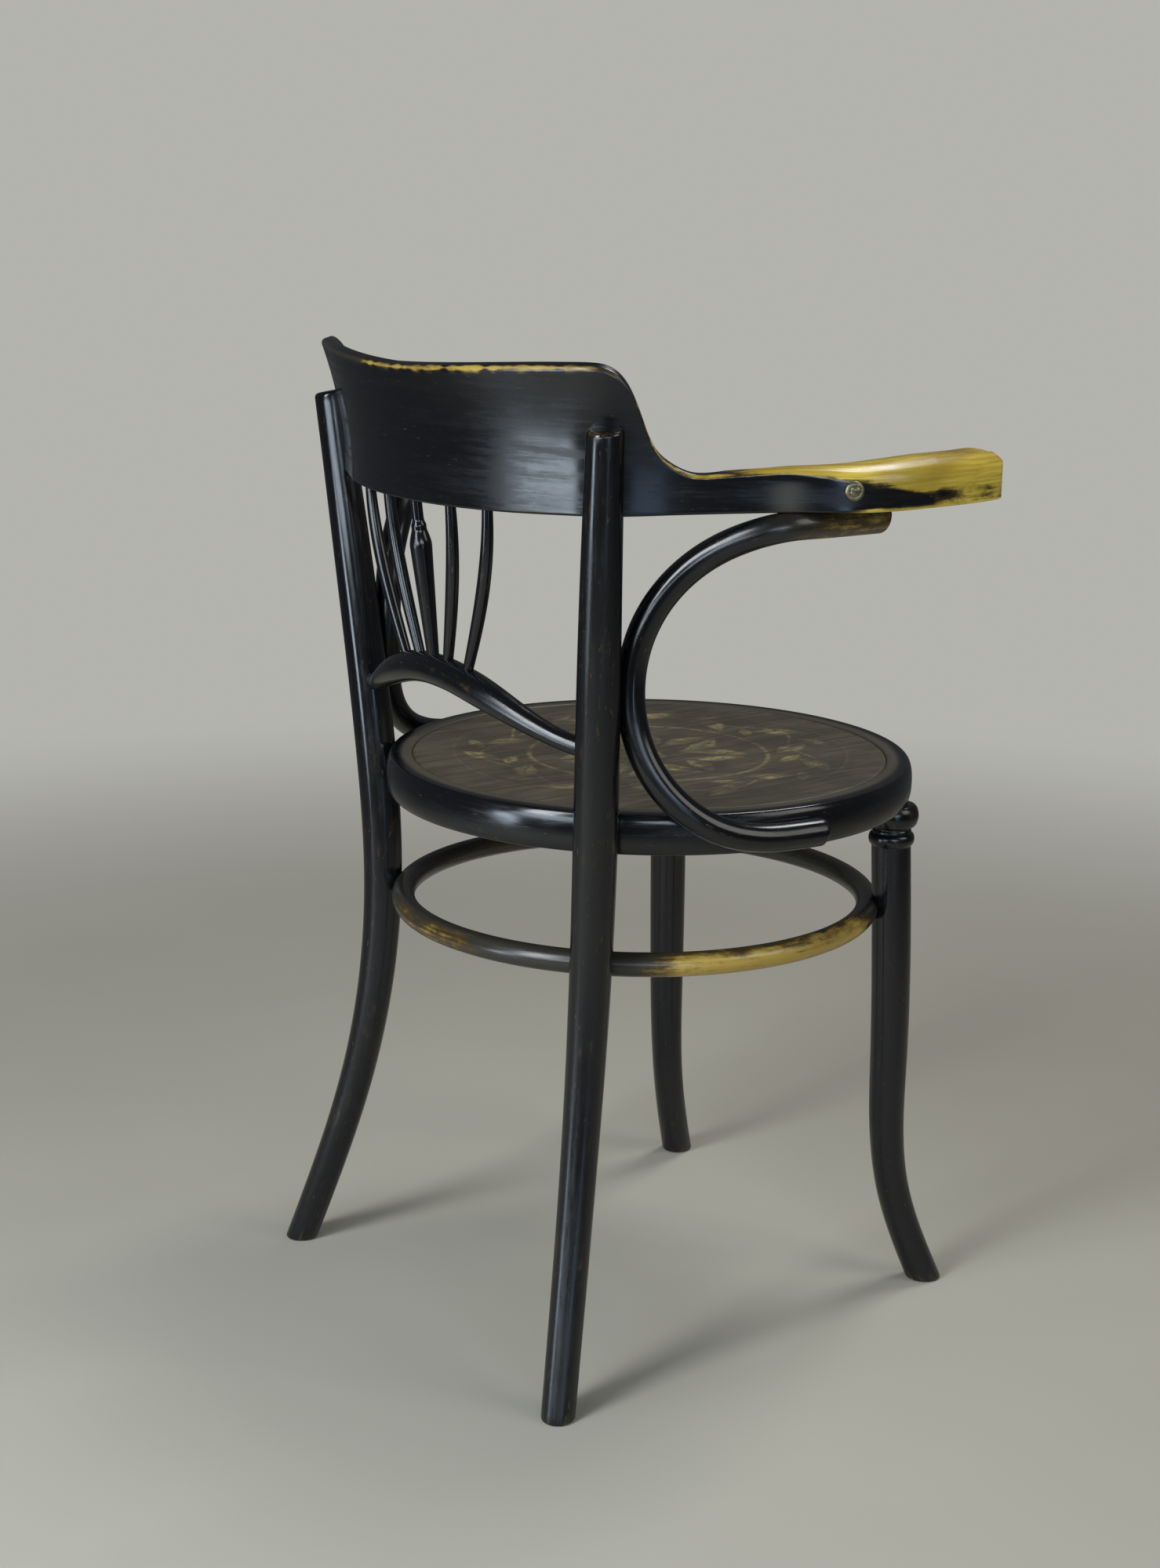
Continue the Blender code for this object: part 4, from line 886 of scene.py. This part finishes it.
radii = SUPPORT_RADIUS * (0.40 + 0.60 * rounded_end(length, 0.007))
radii *= 0.86 + 0.14 * rounded_end(to_tip, 0.003)
rings, run = square_rod(path, radii, (1.0, 0.0, 0.0), SUPPORT_SIDES)
rings[:, :, 1] += np.clip(0.008 - to_tip, 0, None)[:, None] * below(ARM_BOTTOM) * 0.9
rings[:, :, 1] += np.clip(0.010 - length, 0, None)[:, None] * below(RIM_MIDDLE + 0.008) * 0.8
rings[:, :, 2] = np.minimum(rings[:, :, 2], ARM_BOTTOM - GAP)
round_about = np.cos(np.arange(SUPPORT_SIDES) * tau / SUPPORT_SIDES)[None]
tip_wear = smooth_step((0.135 - to_tip) / 0.08)[:, None] * (0.64 - 0.1 * round_about)
support_wear = np.maximum(tip_wear, 0.22 + 0.10 * smooth_step(1 - length / 0.02)[:, None])
support_dull = 0.30 * smooth_step((0.125 - to_tip) / 0.06)[:, None]
support_left = skin("arm_support_left_rod", rings, run, support_wear, support_dull)
support_right = skin("arm_support_right_rod", other_side(rings), other_grain(run, 4.0), support_wear,
                     support_dull)
supports = [dress(support_left, "ebonised", "arm_support_left"),
            dress(support_right, "ebonised", "arm_support_right")]

# %% [markdown]
# ## Lower rail
# An arched rail, thinned at its ends to enter the rear legs, carries the spindles. Its axis is a
# formula, so that each spindle can find its foot on it.

# %% Lower rail
RAIL_END_HEIGHT = 0.4927
RAIL_ARCH = 0.0392
RAIL_BOW = 0.0429
rail_end = rear_axis(RAIL_END_HEIGHT)[0] + (0.0023, -0.0059)


def rail_at(share):
    """The rail's axis: a parabola in plan and a softened arch in height."""
    share = np.atleast_1d(share)
    return np.stack([rail_end[0] * share, rail_end[1] + RAIL_BOW * (1 - share ** 2),
                     RAIL_END_HEIGHT + RAIL_ARCH * (1 - share ** 2) ** 2], axis=-1)


def rail_radius(share):
    """12 mm in the middle, thinning to 7.25 mm at the ends."""
    return 0.0120 - 0.00475 * smooth_step((np.abs(share) - 0.28) / 0.56)


share = np.linspace(-1, 1, 160)
rings, run = square_rod(rail_at(share), rail_radius(share), (0.0, 0.0, 1.0), 32)
lower_rail = skin("back_lower_rail_rod", rings, other_grain(run, 7.0), 0.24)
dress(lower_rail, "ebonised", "back_lower_rail")

# %% [markdown]
# ## Spindles
# Five spindles spread like a fan from the rail up to the crest. Four are bent; the middle one is
# turned, swelling to a shoulder below its neck. All follow one path function.

# %% Spindle paths
SOCKET_DEPTH = 0.008


def crest_above(x):
    """Plan y of the board's middle and the height of its bottom, above a place in the back."""
    back = past_leg <= 0
    y = np.interp(x, board_points[back, 0], board_points[back, 1]) - BOARD_THICKNESS / 2
    return y, np.interp(x, board_points[back, 0], bottom[back, 0])


def spindle_path(foot_x, head_x, count):
    """From a socket in the rail to a socket in the crest; x follows a quarter sine, so the fan is bent."""
    at = foot_x / rail_end[0]
    foot = rail_at(at)[0] + (0, 0, rail_radius(at) - SOCKET_DEPTH)
    y, low = crest_above(head_x)
    head = np.array([head_x, y, low + SOCKET_DEPTH])
    rise = np.linspace(0, 1, count)
    path = foot + (head - foot) * rise[:, None]
    path[:, 0] = foot_x + (head_x - foot_x) * np.sin(rise * pi / 2)
    return path, rise


print("spindles stand", SOCKET_DEPTH, "m deep in their sockets")

# %% [markdown]
# Bent spindles are a little thicker at mid-height. The turned one grows evenly up to its shoulder.

# %% Spindles
spindles = []
places = (("inner_left", 0.018, 0.0431), ("inner_right", -0.018, -0.0431),
          ("outer_left", 0.0405, 0.0815), ("outer_right", -0.0405, -0.0815))
for number, (place, foot_x, head_x) in enumerate(places):
    path, rise_share = spindle_path(foot_x, head_x, 60)
    rings, run = square_rod(path, 0.0038 + 0.0012 * np.sin(rise_share * pi), (0.0, 1.0, 0.0), 24)
    piece = skin("spindle_" + place + "_rod", rings, other_grain(run, number), 0.22)
    spindles.append(dress(piece, "ebonised", "spindle_" + place))
path, rise_share = spindle_path(0.0, 0.0, 110)
swollen = np.clip(rise_share / 0.68, 0, 1) * (1 - smooth_step((rise_share - 0.68) / 0.15))
shoulder = 0.0009 * np.exp(-((rise_share - 0.80) / 0.018) ** 2)
rings, run = square_rod(path, 0.00435 + 0.00405 * swollen + shoulder, (0.0, 1.0, 0.0), 28)
turned = skin("spindle_centre_turning", rings, other_grain(run, 9.0), 0.24)
spindles.append(dress(turned, "ebonised", "spindle_centre"))

# %% [markdown]
# ## Arm screws
# A round-headed screw with a domed washer holds each pad from the outside of the arm. Both are dull
# yellow metal, and the slot stands across the head. Both are profiles turned about an axis, which is
# then laid along the arm's outward normal.

# %% Screw helpers
SCREW_PAST = 0.174
SCREW_UP = 0.0155


def along_axis(flat, point, direction):
    """Stand a shape made about Z on a point with its axis along a direction."""
    turned = Matrix.Translation(point) @ Vector(direction).to_track_quat("Z", "Y").to_matrix().to_4x4()
    matrix = np.array(turned)
    return flat @ matrix[:3, :3].T + matrix[:3, 3]


def revolved(outline, count):
    """Rings of an outline of (radius, height) turned about Z."""
    turn = np.arange(count) * tau / count
    outline = np.asarray(outline, dtype=float)
    return np.stack([outline[:, :1] * np.cos(turn), outline[:, :1] * np.sin(turn),
                     np.broadcast_to(outline[:, 1:], (len(outline), count))], axis=-1)


def screw_place():
    """The point on the left arm's outer face and the outward normal there."""
    index = np.flatnonzero(board_points[:, 0] > 0)
    at = index[np.argmin(np.abs(past_leg[index] - SCREW_PAST))]
    lean_there, slope_there = flare(ARM_BOTTOM + SCREW_UP, ARM_BOTTOM)
    point = board_points[at] + board_normals[at] * lean_there
    normal = np.array([*(board_normals[at] * np.cos(slope_there)), -np.sin(slope_there)])
    return np.array([*point, ARM_BOTTOM + SCREW_UP]) + normal * GAP, normal


screw_point, screw_normal = screw_place()
print("left arm screw at", screw_point.round(4))

# %% [markdown]
# The washer is a quarter oval with a sunk middle, and the head a low dome. The slot lowers the points
# near a line across the head.

# %% Arm screws
bulge = np.linspace(0, pi / 2, 10)
washer = np.stack([0.0048 + 0.0022 * np.sin(bulge[::-1]), 0.0021 * np.cos(bulge[::-1])], axis=-1)
washer = np.vstack([washer, [(0.0042, 0.0020), (0.0030, 0.0016), (0.0029, 0.0)]])
sweep = np.linspace(pi / 2, 0.06, 16)
head = np.stack([0.0040 * np.sin(sweep), 0.0019 + 0.0021 * np.cos(sweep)], axis=-1)
head = np.vstack([[(0.0026, -0.0040), (0.0026, 0.0019)], head])
washer_rings = revolved(washer, 48)
head_rings = revolved(head, 64)
from_slot = np.abs(head_rings[:, :, 1] + 0.35 * head_rings[:, :, 0])
slot_depth = 0.0011 * smooth_step((0.00075 - from_slot) / 0.0004)
head_rings[:, :, 2] -= slot_depth * (head_rings[:, :, 2] > 0.0021)
screws = []
for side, sign in (("left", 1.0), ("right", -1.0)):
    place = screw_point * (sign, 1, 1)
    aim = screw_normal * (sign, 1, 1)
    rosette = skin("arm_rosette_" + side + "_washer", along_axis(washer_rings, place, aim), washer_rings)
    screws.append(dress(rosette, "brass", "arm_rosette_" + side))
    slotted = skin("arm_screw_" + side + "_head", along_axis(head_rings, place, aim), head_rings, crease=35)
    screws.append(dress(slotted, "brass", "arm_screw_" + side))

# %% [markdown]
# ## Finishes
# A finish is a small network of shader nodes. These helpers add a node and join sockets, so that each
# finish below reads like a recipe.

# %% Shader helpers
class Recipe:
    """A material's node tree with short calls to add nodes."""

    def __init__(self, name):
        self.material = bpy.data.materials.new(name)
        self.material.use_nodes = True
        self.tree = self.material.node_tree
        self.shader = self.tree.nodes["Principled BSDF"]

    def put(self, socket, value):
        """Join an output to a socket, or set its value."""
        if isinstance(value, bpy.types.NodeSocket):
            self.tree.links.new(value, socket)
        else:
            socket.default_value = value

    def node(self, kind, inputs=(), **settings):
        """A new node with its settings and inputs by name or number."""
        made = self.tree.nodes.new("ShaderNode" + kind)
        for label, value in settings.items():
            setattr(made, label, value)
        for label, value in dict(inputs).items():
            self.put(made.inputs[label], value)
        return made

    def attribute(self, name, output="Fac"):
        """A stored attribute of the piece."""
        return self.node("Attribute", attribute_name=name).outputs[output]

    def maths(self, operation, *values):
        """One sum of numbers."""
        return self.node("Math", enumerate(values), operation=operation).outputs[0]

    def stretched_noise(self, where, scale, detail=4.0, roughness=0.55):
        """Noise drawn out by a different scale along each direction."""
        mapped = self.node("Mapping", {"Vector": where, "Scale": scale}).outputs[0]
        settings = {"Vector": mapped, "Scale": 1.0, "Detail": detail, "Roughness": roughness}
        return self.node("TexNoise", settings).outputs[0]

    def between(self, value, low, high):
        """0 below low, 1 above high, smooth between."""
        limits = {"Value": value, "From Min": low, "From Max": high}
        return self.node("MapRange", limits, interpolation_type="SMOOTHSTEP").outputs[0]

    def mix(self, share, one, two):
        """Blend of two colours."""
        made = self.node("Mix", data_type="RGBA")
        self.put(made.inputs[0], share)
        self.put(made.inputs[6], one)
        self.put(made.inputs[7], two)
        return made.outputs[2]

    def finish(self, colour, roughness, bump_height, bump=0.3, distance=0.0004):
        """Join colour, roughness and a bump to the shader."""
        self.put(self.shader.inputs["Base Color"], colour)
        self.put(self.shader.inputs["Roughness"], roughness)
        raised = self.node("Bump", {"Strength": bump, "Distance": distance, "Height": bump_height})
        self.put(self.shader.inputs["Normal"], raised.outputs[0])


print("shader helpers ready")

# %% [markdown]
# ### Ebonised lacquer
# Black lacquer over beech. Noise stretched along the grain breaks up the edge of each worn place,
# first brown where stain is left and then golden bare wood. Fine scuffs run along the grain. The dull
# and matte values make it rougher, as on the lower legs. The dull value also turns the black a lighter
# grey-brown: dullness from use on most pieces, and a painted reflection band on the right arm. A painted
# picture would also show the wear, but noise on the wood's own run follows each bend and needs no picture.

# %% Ebonised lacquer
def ebonised_lacquer():
    """Black gloss that wears through brown to gold where the wear attribute is high."""
    r = Recipe("ebonised_lacquer")
    run = r.attribute("run", "Vector")
    wear = r.attribute("wear")
    dull_and_painted_gleam = r.attribute("dull_and_painted_gleam")
    matte = r.attribute("matte")
    grain = r.stretched_noise(run, (16.0, 420.0, 420.0), 5.0, 0.6)
    streak = r.stretched_noise(run, (30.0, 170.0, 170.0), 5.0, 0.65)
    patch = r.stretched_noise(run, (70.0, 110.0, 110.0), 6.0, 0.66)
    broad = r.stretched_noise(run, (9.0, 16.0, 16.0), 2.0, 0.5)
    uneven = r.maths("MULTIPLY_ADD", patch, 0.46, r.maths("MULTIPLY", grain, 0.24))
    uneven = r.maths("MULTIPLY_ADD", streak, 0.42, uneven)
    uneven = r.maths("SUBTRACT", r.maths("MULTIPLY_ADD", broad, 0.22, uneven), 0.67)
    worn = r.maths("MULTIPLY_ADD", uneven, 1.45, wear)
    browned = r.between(worn, 0.34, 0.62)
    bared = r.between(worn, 0.52, 0.90)
    flecks = r.between(r.stretched_noise(run, (90.0, 420.0, 420.0), 3.0, 0.7), 0.66, 0.72)
    scuffs = r.between(r.stretched_noise(run, (13.0, 520.0, 520.0), 4.0, 0.7), 0.56, 0.76)
    scuffs = r.maths("MULTIPLY", scuffs, r.between(patch, 0.40, 0.62))
    black = r.mix(r.maths("MULTIPLY", scuffs, 0.32), (0.0040, 0.0040, 0.0050, 1), (0.030, 0.032, 0.037, 1))
    flecked = r.maths("MULTIPLY", r.maths("MULTIPLY", flecks, wear), 1.8)
    black = r.mix(flecked, black, (0.15, 0.11, 0.045, 1))
    # Lighter grey-brown where the dull value is high: dullness from use, and on the right arm a painted
    # reflection.
    black = r.mix(r.maths("MULTIPLY", dull_and_painted_gleam, 0.9), black, (0.088, 0.076, 0.054, 1))
    brown = r.mix(grain, (0.016, 0.010, 0.004, 1), (0.110, 0.066, 0.016, 1))
    bare = r.mix(r.between(grain, 0.30, 0.70), (0.530, 0.372, 0.036, 1), (0.820, 0.612, 0.098, 1))
    gold = r.mix(r.between(streak, 0.58, 0.80), bare, (0.190, 0.115, 0.016, 1))
    stained = r.mix(grain, (0.270, 0.168, 0.018, 1), (0.520, 0.355, 0.042, 1))
    gold = r.mix(r.between(broad, 0.42, 0.66), gold, stained)
    gold = r.mix(r.maths("MULTIPLY", dull_and_painted_gleam, 2.2), gold, (0.400, 0.262, 0.062, 1))
    colour = r.mix(bared, r.mix(browned, black, brown), gold)
    hazed = r.between(r.stretched_noise(run, (7.0, 80.0, 80.0), 6.0, 0.72), 0.42, 0.66)
    sheen = r.maths("MULTIPLY_ADD", hazed, 0.17, r.maths("MULTIPLY_ADD", patch, 0.12, 0.08))
    sheen = r.maths("MULTIPLY_ADD", scuffs, 0.14, sheen)
    sheen = r.maths("MULTIPLY_ADD", dull_and_painted_gleam, 0.24, sheen)
    sheen = r.maths("MULTIPLY_ADD", matte, 0.10, sheen)
    sheen = r.maths("MULTIPLY_ADD", bared, 0.06, sheen)
    brushed = r.stretched_noise(run, (14.0, 1500.0, 1500.0), 3.0, 0.6)
    relief = r.maths("MULTIPLY_ADD", grain, 0.40, r.maths("MULTIPLY", browned, -0.5))
    relief = r.maths("MULTIPLY_ADD", brushed, 0.12, relief)
    r.finish(colour, sheen, relief, 0.22, 0.00030)
    return r.material


lacquer = ebonised_lacquer()
bent_wood = rear_legs + front_legs + [leg_ring, seat_rim, board] + pads + supports + [lower_rail] + spindles
for piece in bent_wood:
    piece.data.materials.append(lacquer)
print("lacquer on", lacquer.users, "pieces")

# %% [markdown]
# ### Seat plywood
# Dark stained veneer with its grain from front to back. The raised pattern has rubbed to yellow in
# patches, and dirt has stayed in the ground of the relief.

# %% Seat plywood
def seat_plywood():
    """Dark veneer whose raised relief, kept in the wear attribute, shows yellow in patches."""
    r = Recipe("seat_plywood")
    run = r.attribute("run", "Vector")
    relief = r.attribute("wear")
    grain = r.stretched_noise(run, (330.0, 14.0, 40.0), 6.0, 0.62)
    coarse = r.stretched_noise(run, (90.0, 7.0, 20.0), 4.0, 0.6)
    patch = r.stretched_noise(run, (24.0, 20.0, 22.0), 4.0, 0.6)
    fine = r.stretched_noise(run, (210.0, 120.0, 120.0), 4.0, 0.65)
    ground = r.mix(r.between(grain, 0.30, 0.72), (0.060, 0.050, 0.032, 1), (0.124, 0.103, 0.067, 1))
    ground = r.mix(r.between(coarse, 0.52, 0.75), ground, (0.135, 0.108, 0.062, 1))
    rubbed = r.maths("MULTIPLY", r.between(relief, 0.10, 1.0), r.between(patch, 0.38, 0.58))
    rubbed = r.maths("MULTIPLY", rubbed, r.between(fine, 0.30, 0.58))
    rubbed = r.maths("MULTIPLY", rubbed, r.between(coarse, 0.28, 0.60))
    colour = r.mix(rubbed, ground, (0.44, 0.355, 0.150, 1))
    dirt = r.maths("MULTIPLY", r.between(relief, 0.45, 0.05), r.between(patch, 0.62, 0.40))
    colour = r.mix(r.maths("MULTIPLY", dirt, 0.40), colour, (0.036, 0.030, 0.021, 1))
    roughness = r.maths("MULTIPLY_ADD", grain, 0.20, 0.38)
    r.finish(colour, roughness, grain, 0.25, 0.0004)
    return r.material


seat_panel.data.materials.append(seat_plywood())
print("plywood on", seat_panel.name)

# %% [markdown]
# ### Metals
# The arm screws are dull yellow metal with darker dirt; the hidden wood screws are plain steel.

# %% Metals
def worn_metal(name, bright, dark, least, where):
    """Metal mottled between two tones, rougher where it is dark."""
    r = Recipe(name)
    r.shader.inputs["Metallic"].default_value = 1.0
    place = r.attribute("run", "Vector") if where == "run" else r.node("TexCoord").outputs["Object"]
    mottle = r.stretched_noise(place, (420.0, 420.0, 420.0), 4.0, 0.6)
    colour = r.mix(r.between(mottle, 0.35, 0.65), dark, bright)
    roughness = r.maths("MULTIPLY_ADD", mottle, 0.25, least)
    r.finish(colour, roughness, mottle, 0.15, 0.0002)
    return r.material


brass = worn_metal("dull_brass", (0.29, 0.26, 0.165, 1), (0.20, 0.175, 0.11, 1), 0.30, "run")
for piece in screws:
    piece.data.materials.append(brass)
steel = worn_metal("plain_steel", (0.36, 0.35, 0.34, 1), (0.14, 0.13, 0.12, 1), 0.30, "object")
hidden = [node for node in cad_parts
          if "bolt" in node or ("screw" in node and not node.startswith("arm_screw"))]
for node in hidden:
    piece = bpy.data.objects[node]
    piece.data.materials.clear()
    piece.data.materials.append(steel)
print("steel on", len(hidden), "screws and bolts")

# %% [markdown]
# ## Floor and background
# A pale floor fades into a plain background. Only the camera sees the background's colour; the chair
# is lit by a dim, even sky, so that the black lacquer stays black.

# %% Floor and background
BACKDROP = (0.455, 0.452, 0.424, 1.0)


def make_floor():
    """A round sheet whose edge fades out, so that it meets the background without a line."""
    turn = np.arange(96) * tau / 96
    reach = np.array([0.02, 1.0, 2.0, 3.0, 4.0, 5.0])
    flat = np.full((6, 96), -0.0004)
    points = np.stack([reach[:, None] * np.cos(turn), reach[:, None] * np.sin(turn), flat], axis=-1)
    mesh = bpy.data.meshes.new("floor_sheet")
    faces = ring_faces(6, 96, False).tolist() + [list(range(96))]
    mesh.from_pydata(points.reshape(-1, 3), [], faces)
    floor = bpy.data.objects.new("floor_sheet", mesh)
    bpy.context.collection.objects.link(floor)
    r = Recipe("pale_floor")
    place = r.node("TexCoord").outputs["Object"]
    far = r.node("VectorMath", {0: place}, operation="LENGTH").outputs["Value"]
    fade = r.between(far, 0.8, 2.3)
    mottle = r.stretched_noise(place, (3.0, 3.0, 3.0), 3.0, 0.5)
    colour = r.mix(mottle, (0.470, 0.440, 0.362, 1), (0.520, 0.490, 0.407, 1))
    r.put(r.shader.inputs["Base Color"], colour)
    r.shader.inputs["Roughness"].default_value = 0.85
    clear = r.node("BsdfTransparent")
    blend = r.node("MixShader", {0: fade, 1: r.shader.outputs[0], 2: clear.outputs[0]})
    r.put(r.tree.nodes["Material Output"].inputs[0], blend.outputs[0])
    mesh.materials.append(r.material)
    return floor


floor = make_floor()
world = bpy.data.worlds.new("studio")
bpy.context.scene.world = world
world.use_nodes = True
tree = world.node_tree
soft = tree.nodes["Background"]
soft.inputs[0].default_value = (0.55, 0.57, 0.60, 1)
soft.inputs[1].default_value = 0.12
plain = tree.nodes.new("ShaderNodeBackground")
plain.inputs[0].default_value = BACKDROP
path_kind = tree.nodes.new("ShaderNodeLightPath")
chooser = tree.nodes.new("ShaderNodeMixShader")
tree.links.new(path_kind.outputs["Is Camera Ray"], chooser.inputs[0])
tree.links.new(soft.outputs[0], chooser.inputs[1])
tree.links.new(plain.outputs[0], chooser.inputs[2])
tree.links.new(chooser.outputs[0], tree.nodes["World Output"].inputs[0])
print("floor and background ready")

# %% [markdown]
# ## Light
# Black gloss shows little but what it reflects, so the lamps are placed for their reflections. Three
# soft boxes light the chair, and four weaker oval cards give the bluish gleams on the legs, the
# crest and the supports.

# %% Lights
def soft_box(name, azimuth, elevation, distance, size, power, colour, shape="RECTANGLE"):
    """A flat soft light that looks at the seat from a direction."""
    lamp = bpy.data.lights.new(name, "AREA")
    lamp.shape = shape
    lamp.size, lamp.size_y = size
    lamp.energy = power
    lamp.color = colour
    spot = bpy.data.objects.new(name, lamp)
    bpy.context.collection.objects.link(spot)
    turned, raised = radians(azimuth), radians(elevation)
    way = Vector((cos(turned) * cos(raised), sin(turned) * cos(raised), sin(raised)))
    spot.location = Vector((0, 0, 0.45)) + way * distance
    spot.rotation_mode = "QUATERNION"
    spot.rotation_quaternion = way.to_track_quat("Z", "Y")
    return spot


soft_box("left_box", 98, 28, 2.3, (0.55, 1.25), 32, (0.90, 0.95, 1.0))
soft_box("right_box", 208, 30, 2.6, (1.3, 1.3), 14, (1.0, 0.99, 0.96))
soft_box("back_box", 278, 60, 2.2, (0.6, 0.8), 17, (0.97, 0.98, 1.0))
soft_box("low_left_card", 84.5, -5, 1.70, (0.33, 0.50), 4.1, (0.74, 0.87, 1.0), "ELLIPSE")
soft_box("high_left_card", 106, 7, 1.70, (1.20, 0.36), 9.0, (0.74, 0.87, 1.0), "ELLIPSE")
soft_box("low_right_card", 163, -2.5, 1.83, (0.24, 0.55), 0.9, (0.45, 0.66, 1.0), "ELLIPSE")
soft_box("window_card", 157, 12, 2.6, (1.7, 0.45), 11.0, (0.72, 0.86, 1.0), "ELLIPSE")
print("three soft boxes and four cards")

# %% [markdown]
# ## Camera
# The photograph was taken from behind the sitter's right side, a little above the arms. The camera's
# place, aim and focal length were fitted to the chair's feet, seat and leg ring.

# %% Camera
IMAGE_HEIGHT = 2000
FOCAL_PIXELS = 3022
EYE = Vector((-1.4938, 1.1443 + SEAT_Y, 0.8731))
YAW = 2.1949
PITCH = 0.2393
ROLL = 0.013
ahead = Vector((sin(YAW) * cos(PITCH), cos(YAW) * cos(PITCH), -sin(PITCH)))
right = Vector((cos(YAW), -sin(YAW), 0.0))
up = right.cross(ahead)
tilted_right = cos(ROLL) * right + sin(ROLL) * up
tilted_up = cos(ROLL) * up - sin(ROLL) * right
lens = bpy.data.cameras.new("camera")
lens.sensor_fit = "VERTICAL"
lens.sensor_height = 24.0
lens.lens = FOCAL_PIXELS / IMAGE_HEIGHT * lens.sensor_height
camera = bpy.data.objects.new("camera", lens)
bpy.context.collection.objects.link(camera)
camera.matrix_world = Matrix((tilted_right, tilted_up, -ahead)).transposed().to_4x4()
camera.location = EYE
bpy.context.scene.camera = camera
bpy.context.scene.view_settings.view_transform = "Standard"
print("camera at", tuple(round(v, 3) for v in EYE), "lens", round(lens.lens, 2), "mm")
